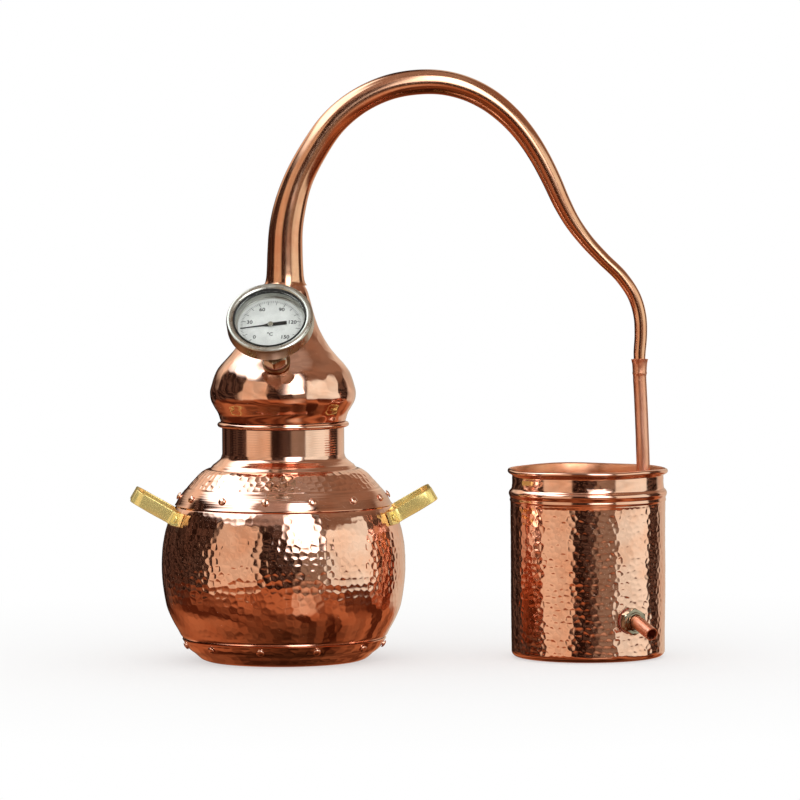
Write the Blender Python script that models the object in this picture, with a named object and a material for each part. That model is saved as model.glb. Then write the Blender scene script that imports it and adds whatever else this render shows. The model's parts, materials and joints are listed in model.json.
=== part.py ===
"""Small copper alembic still: riveted pot, onion hood with swan neck,
dial thermometer and bucket condenser with a coil.

Frame: origin on the pot axis at the underside of the pot base, +Z up,
+X from the pot to the condenser, -Y towards the front of the still.
"""
import bpy
import bmesh
from math import sin, cos, tan, pi, radians, degrees, asin, atan2, hypot
from mathutils import Vector, Matrix

for ob in list(bpy.data.objects):
    bpy.data.objects.remove(ob, do_unlink=True)

# ---------------------------------------------------------------- dimensions
MM = 0.001
SHEET = 1.0             # copper sheet
GAP = 0.3               # clearance between neighbouring pieces
LAP = SHEET + GAP
N_BIG = 36              # facets round the pot
N_MID = 32              # facets round the hood and the bucket

AXIS_DISTANCE = 214.6   # pot axis to bucket axis
COLLAR_R = 42.9
COLLAR_TOP = 163.2
COIL_R = 39.4
COIL_TUBE_R = 4.75
COIL_TUBE_WALL = 0.8
COIL_TOP_Z = 104.0
COIL_TURNS = 4
PLUG_X = 251.5          # axis of the swan-neck plug and the coil socket
SOCKET_TOP = 211.8
OUTLET_Z = 29.0
OUTLET_AZ = 27.0        # degrees to the right of the front
OUTLET_R = 54.5         # bucket wall at the outlet
OUTLET_HOLE_R = 6.9
OUTLET_AF = 17.0        # across the flats of the bush and the lock nut
OUTLET_BEND = 9.0       # radius of the bend from the coil to the outlet
SPOUT_DROP = 20.0       # degrees below level
SPOUT_KNEE = 9.5        # from the wall to the start of the drop
SPOUT_LENGTH = 20.0

SHOULDER_RIVETS = 14
SHOULDER_RIVET_AZ = -11.5
SHOULDER_RIVET_Z = 115.4
BASE_RIVETS = 11
BASE_RIVET_AZ = -15.5
BASE_RIVET_Z = 11.2
RIVET_HOLE_R = 1.55
HANDLE_HOLE_R = 1.65

HANDLE_TILT = 30.0
HANDLE_W = 9.6
HANDLE_T = 2.2
HANDLE_HALF = 23.0      # half the spread of the two legs
HANDLE_REACH = 105.4    # outside of the bow, from the pot axis
HANDLE_Z = 100.5        # middle of the feet
HANDLE_FOOT_AZ = 22.8   # rivet, from the handle's own direction
HANDLE_CORNER = 6.5     # radius of the corners of the bow
BELLY_LEAN = 20.5       # degrees the belly's normal points up at the feet

THERMO_AZ = -8.0
THERMO_TILT = 40.0
THERMO_R = 41.05        # where the stem meets the hood
THERMO_Z = 210.5
BOSS_HOLE_R = 8.75      # hole in the hood
AF_HEX = 17.0
HEX_KEY = 9.0           # radius in the profiles that becomes a hexagon
DIAL_LOW = 42.3         # back of the dial, along the stem's axis
DIAL_HIGH = 42.8
NEEDLE_LOW = 43.1
NEEDLE_HIGH = 43.55
NEEDLE_HOLE_R = 0.95
HELIX_R = 1.65
HELIX_LOW = -42.0
HELIX_LENGTH = 28.0
HELIX_TURNS = 8
HELIX_HALF_W = 0.5
HELIX_HALF_T = 0.18
READING = 20.0          # degrees C shown at rest
SCALE_START = -135.0    # degrees from 12 o'clock at 0 degrees C
DEG_PER_C = 1.8

# ------------------------------------------------------------------ profiles
# outer lines as (radius, height), from the bottom up
PAN = [(0, 0), (55.5, 0), (58.5, 1.2), (62.6, 4.6), (67.9, 8.8), (70.7, 13.0),
       (71.7, 15.0)]
SHOULDER = [(76.35, 109.3), (73.0, 115.4), (68.9, 120.5), (63.0, 127.0),
            (58.8, 131.3), (53.4, 134.5), (51.1, 134.9), (45.9, 138.2)]
BELLY_MID = [(72.4, 17.3), (74.9, 21.5), (78.6, 28.2), (82.0, 36.2),
             (84.4, 48.0), (85.7, 60.0), (85.8, 70.0), (84.9, 82.0),
             (82.5, 93.5), (79.6, 101.5), (76.6, 107.2)]
BELLY_TOP = (68.39, 119.04)   # end of the belly under the shoulder
COLLAR = [(51.9, 136.1), (46.6, 139.4), (44.0, 141.8), (42.9, 144.8),
          (COLLAR_R, COLLAR_TOP)]
DOME = [(43.9, 168.0), (45.6, 173.0), (48.5, 177.7), (50.9, 182.0),
        (51.8, 188.2), (50.4, 194.6), (47.2, 203.0), (43.8, 207.7),
        (40.1, 211.5), (32.9, 219.9), (27.3, 228.3), (22.9, 236.8),
        (19.9, 245.2), (17.4, 253.7), (15.5, 259.6), (14.0, 262.4),
        (12.9, 264.6), (12.1, 268.0), (11.8, 271.0)]

# centre line of the swan neck: x, z, outer radius
NECK = [(2.0, 262.9, 15.3), (2.0, 264.7, 14.2), (2.0, 268.2, 13.4),
        (2.0, 274.5, 12.9), (2.0, 285.0, 12.5), (2.9, 303.0, 11.9),
        (5.0, 315.0, 11.5), (10.9, 335.0, 10.4), (22.0, 356.6, 9.8),
        (37.7, 378.2, 9.4), (55.8, 392.5, 9.1), (77.3, 401.7, 8.9),
        (98.9, 405.0, 8.8), (115.5, 404.0, 8.6), (131.2, 399.7, 8.4),
        (145.3, 392.4, 8.2), (159.5, 381.0, 7.8), (171.3, 367.5, 7.4),
        (181.0, 352.5, 7.1), (189.2, 336.6, 6.8), (196.8, 319.9, 6.3),
        (203.9, 306.8, 5.7), (213.5, 293.6, 5.1), (225.7, 280.4, 4.75),
        (238.6, 267.0, 4.6), (247.0, 253.5, 4.5), (250.7, 239.5, 4.45),
        (PLUG_X, 226.0, 4.4), (PLUG_X, 213.0, 4.4), (PLUG_X, 203.0, 3.7)]
NECK_THIN_R = 6.0       # below this radius the wall is thinner
NECK_THIN = 0.8

# ----------------------------------------------------------------- materials
COLOURS = {
    "copper": ((0.80, 0.37, 0.22, 1), 1.0, 0.18),
    "copper_matte": ((0.74, 0.31, 0.17, 1), 1.0, 0.34),
    "brass": ((0.85, 0.63, 0.22, 1), 1.0, 0.22),
    "steel": ((0.60, 0.60, 0.58, 1), 1.0, 0.25),
    "nickel": ((0.66, 0.64, 0.58, 1), 1.0, 0.22),
    "bimetal": ((0.50, 0.46, 0.40, 1), 1.0, 0.35),
    "dial_white": ((0.88, 0.88, 0.86, 1), 0.0, 0.45),
    "black": ((0.02, 0.02, 0.02, 1), 0.0, 0.45),
    "glass": ((0.95, 0.97, 0.97, 1), 0.0, 0.03),
    "fibre": ((0.45, 0.12, 0.08, 1), 0.0, 0.70),
    "aluminium": ((0.80, 0.80, 0.80, 1), 1.0, 0.25),
}


def material(name):
    mat = bpy.data.materials.get(name)
    if mat is None:
        mat = bpy.data.materials.new(name)
        mat.use_nodes = True
        colour, metal, rough = COLOURS[name]
        bsdf = mat.node_tree.nodes["Principled BSDF"]
        bsdf.inputs["Base Color"].default_value = colour
        bsdf.inputs["Metallic"].default_value = metal
        bsdf.inputs["Roughness"].default_value = rough
        if name == "glass":
            bsdf.inputs["Transmission Weight"].default_value = 1.0
    return mat


# ------------------------------------------------------------------- helpers
def finish(name, bm, mat, matrix=None, sharp=35.0):
    bmesh.ops.recalc_face_normals(bm, faces=bm.faces)
    mesh = bpy.data.meshes.new(name)
    bm.to_mesh(mesh)
    bm.free()
    mesh.polygons.foreach_set("use_smooth", [True] * len(mesh.polygons))
    mesh.set_sharp_from_angle(angle=radians(sharp))
    mesh.materials.append(material(mat))
    ob = bpy.data.objects.new(name, mesh)
    bpy.context.scene.collection.objects.link(ob)
    if matrix is not None:
        ob.matrix_world = matrix
    return ob


def offset(line, d):
    """The line moved d towards the axis (for lines drawn from the bottom up)."""
    normals = []
    for (r0, z0), (r1, z1) in zip(line, line[1:]):
        length = hypot(r1 - r0, z1 - z0)
        normals.append((-(z1 - z0) / length, (r1 - r0) / length))
    moved = []
    for i, (r, z) in enumerate(line):
        a = normals[max(i - 1, 0)]
        b = normals[min(i, len(normals) - 1)]
        m = (a[0] + b[0], a[1] + b[1])
        size = hypot(*m)
        m = (m[0] / size, m[1] / size)
        k = d / (m[0] * a[0] + m[1] * a[1])
        moved.append((r + m[0] * k, z + m[1] * k))
    return moved


def sheet(line, thickness=SHEET):
    """Closed profile of a sheet whose outer face follows the line."""
    inner = offset(line, thickness)
    if line[0][0] == 0:
        inner[0] = (0, line[0][1] + thickness)
    elif len(line) > 10:
        inner = inner[:2] + inner[2:-3:2] + inner[-3:]
    return list(line) + inner[::-1]


def lathe(name, profile, mat, n=N_BIG, matrix=None, centre=None, shape=None,
          sharp=35.0):
    """Solid of revolution about local Z. Points on the axis become poles.

    centre(z) shifts a ring sideways; shape(r, angle) makes a ring non-round.
    """
    bm = bmesh.new()
    rings = []
    for r, z in profile:
        cx, cy = centre(z) if centre else (0.0, 0.0)
        if r == 0:
            rings.append([bm.verts.new(Vector((cx, cy, z)) * MM)])
            continue
        ring = []
        for k in range(n):
            a = 2 * pi * k / n
            q = shape(r, a) if shape else r
            ring.append(bm.verts.new(Vector((cx + q * cos(a), cy + q * sin(a), z)) * MM))
        rings.append(ring)
    count = len(rings)
    has_poles = profile[0][0] == 0
    for i in range(count - 1 if has_poles else count):
        a, b = rings[i], rings[(i + 1) % count]
        if len(a) == 1 and len(b) == 1:
            continue
        for k in range(n):
            m = (k + 1) % n
            if len(a) == 1:
                bm.faces.new((a[0], b[k], b[m]))
            elif len(b) == 1:
                bm.faces.new((a[k], b[0], a[m]))
            else:
                bm.faces.new((a[k], b[k], b[m], a[m]))
    return finish(name, bm, mat, matrix, sharp)


def frames(points, first):
    """Tangent and two normals at every point, carried along the path."""
    out = []
    side = Vector(first).normalized()
    for i, p in enumerate(points):
        q0 = points[max(i - 1, 0)]
        q1 = points[min(i + 1, len(points) - 1)]
        t = (q1 - q0).normalized()
        side = (side - t * side.dot(t)).normalized()
        out.append((t, side, t.cross(side)))
    return out


def pipe(name, points, outer, inner, mat, n, first=(0, 1, 0), sharp=35.0):
    """Hollow tube open at both ends along the points (mm)."""
    points = [Vector(p) for p in points]
    bm = bmesh.new()
    skins = []
    for radii in (outer, inner):
        rings = []
        for p, (t, u, v), r in zip(points, frames(points, first), radii):
            rings.append([bm.verts.new((p + u * (r * cos(2 * pi * k / n))
                                        + v * (r * sin(2 * pi * k / n))) * MM)
                          for k in range(n)])
        skins.append(rings)
    for rings in skins:
        for a, b in zip(rings, rings[1:]):
            for k in range(n):
                m = (k + 1) % n
                bm.faces.new((a[k], b[k], b[m], a[m]))
    for end in (0, -1):
        a, b = skins[0][end], skins[1][end]
        for k in range(n):
            m = (k + 1) % n
            bm.faces.new((a[k], b[k], b[m], a[m]))
    return finish(name, bm, mat, None, sharp)


def strap(name, stations, width, thick, mat):
    """Flat bar along stations of (position, direction of its width)."""
    bm = bmesh.new()
    rings = []
    pos = [s[0] for s in stations]
    for i, (p, w) in enumerate(stations):
        t = (pos[min(i + 1, len(pos) - 1)] - pos[max(i - 1, 0)]).normalized()
        w = (w - t * w.dot(t)).normalized()
        h = t.cross(w)
        rings.append([bm.verts.new((p + w * (a * width / 2) + h * (b * thick / 2)) * MM)
                      for a, b in ((-1, -1), (1, -1), (1, 1), (-1, 1))])
    for a, b in zip(rings, rings[1:]):
        for k in range(4):
            m = (k + 1) % 4
            bm.faces.new((a[k], b[k], b[m], a[m]))
    bm.faces.new(rings[0])
    bm.faces.new(rings[-1])
    return finish(name, bm, mat)


def frame_at(point, axis, up=(0, 0, 1)):
    """Matrix with local Z along the axis and local Y as near up as it gets."""
    z = Vector(axis).normalized()
    y = Vector(up) - z * z.dot(Vector(up))
    y.normalize()
    x = y.cross(z)
    m = Matrix((x, y, z)).transposed().to_4x4()
    m.translation = Vector(point) * MM
    return m


def drill(ob, cutters):
    """Cut straight round holes: cutters are (matrix, radius, low, high, sides)."""
    bm = bmesh.new()
    for matrix, radius, low, high, sides in cutters:
        rings = [[bm.verts.new(matrix @ (Vector((radius * cos(2 * pi * k / sides),
                                                 radius * sin(2 * pi * k / sides), z)) * MM))
                  for k in range(sides)] for z in (low, high)]
        for k in range(sides):
            m = (k + 1) % sides
            bm.faces.new((rings[0][k], rings[0][m], rings[1][m], rings[1][k]))
        bm.faces.new(rings[0][::-1])
        bm.faces.new(rings[1])
    bmesh.ops.recalc_face_normals(bm, faces=bm.faces)
    mesh = bpy.data.meshes.new("cutter")
    bm.to_mesh(mesh)
    bm.free()
    tool = bpy.data.objects.new("cutter", mesh)
    bpy.context.scene.collection.objects.link(tool)
    tool.hide_render = True
    tool.display_type = 'WIRE'
    mod = ob.modifiers.new("holes", 'BOOLEAN')
    mod.operation = 'DIFFERENCE'
    mod.solver = 'EXACT'
    mod.object = tool
    bpy.context.view_layer.update()
    graph = bpy.context.evaluated_depsgraph_get()
    cut = bpy.data.meshes.new_from_object(ob.evaluated_get(graph))
    ob.modifiers.clear()
    old = ob.data
    name = old.name
    ob.data = cut
    bpy.data.meshes.remove(old)
    cut.name = name
    bpy.data.objects.remove(tool, do_unlink=True)
    cut.polygons.foreach_set("use_smooth", [True] * len(cut.polygons))
    cut.set_sharp_from_angle(angle=radians(35))


def az_vec(az, up=0.0):
    """Unit vector pointing out at an azimuth from the front (+ to +X)."""
    a, e = radians(az), radians(up)
    return Vector((cos(e) * sin(a), -cos(e) * cos(a), sin(e)))


def radius_at(line, z):
    for (r0, z0), (r1, z1) in zip(line, line[1:]):
        if z0 <= z <= z1:
            t = (z - z0) / (z1 - z0) if z1 > z0 else 0
            return r0 + (r1 - r0) * t, degrees_up(r0, z0, r1, z1)
    raise ValueError(z)


def degrees_up(r0, z0, r1, z1):
    """Angle of the outward normal above level for a piece of profile."""
    return degrees(atan2(r0 - r1, z1 - z0))


def hexagon(apothem_of):
    """Ring shape for lathe: radii found in apothem_of become hexagons."""
    def shape(r, a):
        if r not in apothem_of:
            return r
        b = (a + pi / 6) % (pi / 3) - pi / 6
        return apothem_of[r] / cos(b)
    return shape


# ----------------------------------------------------------------------- pot
belly = (offset(PAN[4:], LAP) + BELLY_MID + offset(SHOULDER[:3], LAP)[:2]
         + [BELLY_TOP])

pot_base = lathe("pot_base", sheet(PAN), "copper")
pot_belly = lathe("pot_belly", sheet(belly), "copper")
pot_shoulder = lathe("pot_shoulder", sheet(SHOULDER), "copper")
pot_collar = lathe("pot_collar", sheet(COLLAR), "copper")


def rivet(name, frame, grip, mat="copper", head=2.5, rise=1.4, sides=6, shank=1.2,
          slack=GAP + 0.4):
    """Solid rivet: outer face of the work at z = 0, the work grip thick."""
    low = -grip - slack
    profile = [(0, low - 0.8), (shank + 0.8, low - 0.6), (shank + 0.8, low),
               (shank, low), (shank, GAP), (head, GAP), (head * 0.8, GAP + rise * 0.65),
               (0, GAP + rise)]
    return lathe(name, profile, mat, n=sides, matrix=frame, sharp=60)


shoulder_cuts = []
r_here, up_here = radius_at(SHOULDER, SHOULDER_RIVET_Z)
for i in range(SHOULDER_RIVETS):
    az = SHOULDER_RIVET_AZ + i * 360.0 / SHOULDER_RIVETS
    out = az_vec(az, up_here)
    flat = az_vec(az)
    frame = frame_at(flat * r_here + Vector((0, 0, SHOULDER_RIVET_Z)), out)
    rivet("shoulder_rivet_%02d" % (i + 1), frame, SHEET + LAP)
    shoulder_cuts.append((frame, RIVET_HOLE_R, -8, 4, 6))

base_cuts = []
r_here, up_here = radius_at(PAN, BASE_RIVET_Z)
for i in range(BASE_RIVETS):
    az = BASE_RIVET_AZ + i * 360.0 / BASE_RIVETS
    frame = frame_at(az_vec(az) * r_here + Vector((0, 0, BASE_RIVET_Z)), az_vec(az, up_here))
    rivet("base_rivet_%02d" % (i + 1), frame, SHEET + LAP)
    base_cuts.append((frame, RIVET_HOLE_R, -8, 4, 6))

handle_cuts = []
belly_r = radius_at(belly, HANDLE_Z)[0]


def handle(name, side, first_rivet):
    """U-shaped strap; side is +1 (towards the condenser) or -1."""
    tilt = radians(HANDLE_TILT)
    lean = radians(BELLY_LEAN)
    w_leg = Vector((-sin(tilt) * side, 0, cos(tilt)))
    half = HANDLE_T / 2

    def on_belly(phi, lift):
        p = radians(phi)
        flat = Vector((cos(p) * side, sin(p), 0))
        normal = flat * cos(lean) + Vector((0, 0, sin(lean)))
        return flat * belly_r + Vector((0, 0, HANDLE_Z)) + normal * lift, normal

    lift = GAP + half
    half_path = []
    for phi in (26.4, 24.0, 21.0, 19.0):
        p, normal = on_belly(phi, lift)
        flat = Vector((cos(radians(phi)) * side, sin(radians(phi)), 0))
        width = Vector((0, 0, 1)) * cos(lean) - flat * sin(lean)
        half_path.append((p, width))
    w_foot = half_path[-1][1]
    base_x = half_path[-1][0].x * side

    def leg(x, y, blend):
        z = HANDLE_Z + 0.45 + (x - base_x) * tan(tilt)
        return Vector((x * side, y, z)), w_foot.lerp(w_leg, blend)

    half_path.append(leg(base_x + 1.5, HANDLE_HALF + 1.0, 0.4))
    half_path.append(leg(base_x + 3.2, HANDLE_HALF + 0.1, 0.8))
    half_path.append(leg(base_x + 6.0, HANDLE_HALF, 1.0))
    end_x = HANDLE_REACH - half
    corner = HANDLE_CORNER
    for k in range(6):
        a = radians(90 * k / 5)
        half_path.append(leg(end_x - corner + corner * sin(a),
                             HANDLE_HALF - corner + corner * cos(a), 1.0))
    mirror = [(Vector((p.x, -p.y, p.z)), Vector((w.x, -w.y, w.z))) for p, w in half_path]
    ob = strap(name, half_path + mirror[::-1], HANDLE_W, HANDLE_T, "brass")
    cuts = []
    for k, phi in enumerate((HANDLE_FOOT_AZ, -HANDLE_FOOT_AZ)):
        p, normal = on_belly(phi, 2 * half + GAP)
        frame = frame_at(p, normal)
        rivet("handle_rivet_%d" % (first_rivet + k), frame, HANDLE_T + LAP, "brass",
              head=2.6, rise=1.3, sides=8, shank=1.3, slack=GAP + 0.5)
        cuts.append((frame, HANDLE_HOLE_R, -9, 4, 8))
    drill(ob, cuts)
    handle_cuts.extend(cuts)


handle("handle_left", -1, 1)
handle("handle_right", 1, 3)
drill(pot_base, base_cuts)
drill(pot_belly, base_cuts + shoulder_cuts + handle_cuts)
drill(pot_shoulder, shoulder_cuts)


# ---------------------------------------------------------------------- hood
def dome_centre(z):
    t = min(max((z - 216.0) / 40.0, 0.0), 1.0)
    return (2.0 * t * t * (3 - 2 * t), 0.0)


skirt_outer = [(41.3, 148.0), (41.3, 163.0), (42.2, 163.6), (44.6, 163.7),
               (46.0, 164.5), (46.3, 165.5), (45.8, 166.6), (44.4, 167.4),
               (42.7, 168.0), (43.0, 169.8), (43.5, 172.0)]
skirt_inner = [(40.3, 148.0), (40.3, 163.3), (42.0, 164.7), (44.6, 164.8),
               (45.1, 165.5), (44.3, 166.3), (41.9, 166.9), (41.9, 169.6),
               (42.4, 172.0)]
lathe("hood_skirt", skirt_outer + skirt_inner[::-1], "copper", n=N_MID)
hood_dome = lathe("hood_dome", sheet(DOME, 0.9), "copper", n=N_MID, centre=dome_centre)

pipe("swan_neck", [(x, 0, z) for x, z, r in NECK],
     [r for x, z, r in NECK],
     [r - (SHEET if r > NECK_THIN_R else NECK_THIN) for x, z, r in NECK],
     "copper", 14, sharp=50)

# --------------------------------------------------------------- thermometer
stem_dir = az_vec(THERMO_AZ, THERMO_TILT)
stem_at = az_vec(THERMO_AZ) * THERMO_R + Vector((0, 0, THERMO_Z))
T = frame_at(stem_at, stem_dir)
drill(hood_dome, [(T, BOSS_HOLE_R, -9, 6, 16)])
lathe("thermometer_boss",
      [(8.3, -4.0), (8.3, 0.8), (10.0, 0.8), (10.0, 2.2), (9.6, 2.6),
       (6.6, 2.6), (6.6, -4.0)], "brass", n=24, matrix=T)
lathe("thermometer_washer",
      [(6.6, 2.9), (8.4, 2.9), (8.4, 4.0), (6.6, 4.0)], "fibre", n=20, matrix=T)
lathe("thermometer_stem",
      [(0, -45.0), (2.2, -45.0), (3.0, -44.0), (3.0, -6.0), (5.4, -5.5), (6.2, -4.6),
       (6.2, 4.3), (HEX_KEY, 4.3), (HEX_KEY, 11.3), (5.0, 11.3), (5.0, 39.7),
       (3.9, 39.7), (3.9, 41.3), (5.6, 41.3), (5.6, 41.9),
       (2.3, 41.9), (2.3, -43.5), (0, -43.5)],
      "steel", n=24, matrix=T, shape=hexagon({HEX_KEY: AF_HEX / 2}))
lathe("thermometer_case",
      [(4.3, 40.0), (27.4, 40.0), (28.0, 40.6), (28.0, 49.9), (27.2, 49.9),
       (27.2, 42.0), (24.5, 42.0), (24.5, 41.0), (4.3, 41.0)], "steel", n=28, matrix=T)
lathe("thermometer_bezel",
      [(28.3, 41.8), (29.6, 41.8), (30.0, 42.3), (30.0, 50.4), (29.5, 51.4),
       (28.3, 52.0), (26.3, 51.9), (25.25, 51.2), (25.25, 51.0), (28.3, 51.0)],
      "steel", n=28, matrix=T)
lathe("thermometer_gasket",
      [(24.5, 50.2), (27.9, 50.2), (27.9, 50.7), (24.5, 50.7)], "black", n=24, matrix=T)
lathe("thermometer_glass",
      [(0, 48.6), (26.9, 48.6), (26.9, 49.9), (0, 49.9)], "glass", n=28, matrix=T)
lathe("dial_ring",
      [(22.6, DIAL_HIGH + GAP), (26.8, DIAL_HIGH + GAP), (26.8, 48.3), (26.4, 48.3),
       (24.2, 44.1), (22.9, 44.1), (22.6, 43.8)], "aluminium", n=24, matrix=T)
lathe("dial_plate",
      [(1.2, DIAL_LOW), (26.8, DIAL_LOW), (26.8, DIAL_HIGH), (1.2, DIAL_HIGH)],
      "dial_white", n=24, matrix=T)

# pointer, needle drawn along local +Y for 12 o'clock
turn = radians(SCALE_START + READING * DEG_PER_C)
P = T @ Matrix.Rotation(-turn, 4, 'Z')
half_outline = [(0.18, 21.0), (0.55, 5.0), (1.3, 2.0), (1.5, -3.0), (1.5, -12.8)]
outline = half_outline + [(-x, y) for x, y in half_outline[::-1]]
bm = bmesh.new()
low = [bm.verts.new(Vector((x, y, NEEDLE_LOW)) * MM) for x, y in outline]
high = [bm.verts.new(Vector((x, y, NEEDLE_HIGH)) * MM) for x, y in outline]
for k in range(len(outline)):
    m = (k + 1) % len(outline)
    bm.faces.new((low[k], low[m], high[m], high[k]))
bm.faces.new(low)
bm.faces.new(high)
pointer = finish("pointer", bm, "black", P)
drill(pointer, [(P, NEEDLE_HOLE_R, NEEDLE_LOW - 2, NEEDLE_HIGH + 2, 8)])
lathe("pointer_shaft",
      [(0, -12.0), (0.6, -12.0), (0.6, NEEDLE_HIGH + GAP), (1.9, NEEDLE_HIGH + GAP),
       (1.9, NEEDLE_HIGH + GAP + 0.7), (0, NEEDLE_HIGH + GAP + 0.7)],
      "steel", n=8, matrix=P)
per_turn = 8
steps = per_turn * HELIX_TURNS
coil_pts = [Vector((HELIX_R * cos(2 * pi * k / per_turn), HELIX_R * sin(2 * pi * k / per_turn),
                    HELIX_LOW + HELIX_LENGTH * k / steps)) for k in range(steps + 1)]
bm = bmesh.new()
rings = []
for p, (t, u, v) in zip(coil_pts, frames(coil_pts, (0, 0, 1))):
    rings.append([bm.verts.new((p + u * (a * HELIX_HALF_W) + v * (b * HELIX_HALF_T)) * MM)
                  for a, b in ((-1, -1), (1, -1), (1, 1), (-1, 1))])
for a, b in zip(rings, rings[1:]):
    for k in range(4):
        m = (k + 1) % 4
        bm.faces.new((a[k], b[k], b[m], a[m]))
bm.faces.new(rings[0])
bm.faces.new(rings[-1])
finish("bimetal_helix", bm, "bimetal", P)

# ----------------------------------------------------------------- condenser
C = Matrix.Translation(Vector((AXIS_DISTANCE, 0, 0)) * MM)
bucket_outer = [(0, 0), (49.4, 0), (51.8, 0.6), (53.8, 2.6), (54.4, 5.2), (54.6, 60.0),
                (54.7, 109.4), (55.4, 110.8), (54.8, 112.4), (55.3, 113.4),
                (55.8, 115.4), (55.2, 117.3), (54.0, 118.6), (53.5, 121.0),
                (53.4, 126.0), (53.7, 129.2), (55.0, 129.9), (56.1, 130.7),
                (56.5, 131.9), (56.0, 133.1), (54.8, 133.5)]
bucket_inner = [(0, 1.0), (49.2, 1.0), (51.2, 1.5), (52.9, 3.2), (53.4, 5.4), (53.6, 60.0),
                (53.7, 109.6), (53.9, 112.2), (54.7, 115.3), (53.1, 118.2),
                (52.4, 121.0), (52.4, 126.0), (52.6, 130.2), (53.3, 132.7)]
bucket = lathe("bucket", bucket_outer + bucket_inner[::-1], "copper", n=N_MID, matrix=C)

out_dir = az_vec(OUTLET_AZ)
bucket_at = Vector((AXIS_DISTANCE, 0, 0))
O = frame_at(bucket_at + out_dir * OUTLET_R + Vector((0, 0, OUTLET_Z)), out_dir)
drill(bucket, [(O, OUTLET_HOLE_R, -6, 6, 16)])
lathe("outlet_washer_outer", [(6.8, 0.35), (8.9, 0.35), (8.9, 1.35), (6.8, 1.35)],
      "fibre", n=20, matrix=O)
lathe("outlet_bush",
      [(5.1, -8.5), (6.5, -8.5), (6.5, 1.65), (HEX_KEY, 1.65), (HEX_KEY, 7.2),
       (6.4, 7.2), (6.4, 8.2), (5.1, 8.2)],
      "nickel", n=24, matrix=O, shape=hexagon({HEX_KEY: OUTLET_AF / 2}))
lathe("outlet_washer_inner", [(6.8, -3.2), (8.9, -3.2), (8.9, -2.2), (6.8, -2.2)],
      "fibre", n=20, matrix=O)
lathe("outlet_locknut",
      [(6.8, -7.2), (HEX_KEY, -7.2), (HEX_KEY, -3.5), (6.8, -3.5)],
      "nickel", n=24, matrix=O, shape=hexagon({HEX_KEY: OUTLET_AF / 2}))

# coil: flared socket, riser, helix, and the spout through the wall
path, outer_r, inner_r = [], [], []


def add(p, r_out=COIL_TUBE_R, r_in=COIL_TUBE_R - COIL_TUBE_WALL):
    path.append(Vector(p))
    outer_r.append(r_out)
    inner_r.append(r_in)


add((PLUG_X, 0, SOCKET_TOP), 5.75, 4.9)
add((PLUG_X, 0, 203.0), 5.1, 4.2)
add((PLUG_X, 0, 198.5))
add((PLUG_X + 0.3, 0, 190.0))
add((PLUG_X + 1.9, 0, 150.0))
add((AXIS_DISTANCE + COIL_R, 0, 126.0))
add((AXIS_DISTANCE + COIL_R, -0.4, 117.0))
add((AXIS_DISTANCE + COIL_R - 0.1, -2.6, 110.5))
theta_out = -90.0 + OUTLET_AZ
delta = degrees(asin(OUTLET_BEND / (COIL_R + OUTLET_BEND)))
theta_end = theta_out + delta - 360.0 * COIL_TURNS
steps = 3 + 14 * COIL_TURNS
theta_start = -11.0
for k in range(steps + 1):
    f = k / steps
    th = theta_start + (theta_end - theta_start) * f
    z = COIL_TOP_Z + 1.2 + (OUTLET_Z - COIL_TOP_Z - 1.2) * f
    if f > 0.95:
        z = max(z, OUTLET_Z)
    a = radians(th)
    add((AXIS_DISTANCE + COIL_R * cos(a), COIL_R * sin(a), z))
a_end = radians(theta_end)
bend_c = Vector((AXIS_DISTANCE + (COIL_R + OUTLET_BEND) * cos(a_end),
                 (COIL_R + OUTLET_BEND) * sin(a_end), OUTLET_Z))
start_dir = Vector((-cos(a_end), -sin(a_end), 0))
sweep = 90.0 - delta
for k in range(1, 5):
    q = radians(sweep * k / 4)
    rot = Matrix.Rotation(q, 3, 'Z')
    add(bend_c + (rot @ start_dir) * OUTLET_BEND)
base = bucket_at + Vector((0, 0, OUTLET_Z))
add(base + out_dir * (OUTLET_R + 7.5))
drop = radians(SPOUT_DROP)
slope = out_dir * cos(drop) - Vector((0, 0, sin(drop)))
knee = base + out_dir * (OUTLET_R + SPOUT_KNEE)
add(knee + slope * 1.0)
add(knee + slope * SPOUT_LENGTH)
pipe("coil", path, outer_r, inner_r, "copper_matte", 8, first=(0, 1, 0), sharp=60)
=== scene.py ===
"""Looks of the copper alembic still: hammered copper, brass handles, dial
thermometer, camera and studio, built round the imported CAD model.

Lengths are in mm in the row frame (origin under the pot, +X to the
condenser, -Y to the front) and become metres when a mesh is made.
"""
import json
from math import asin, atan2, cos, degrees, pi, radians, sin, tan

import bpy
import numpy as np
from mathutils import Matrix, Vector

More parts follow.
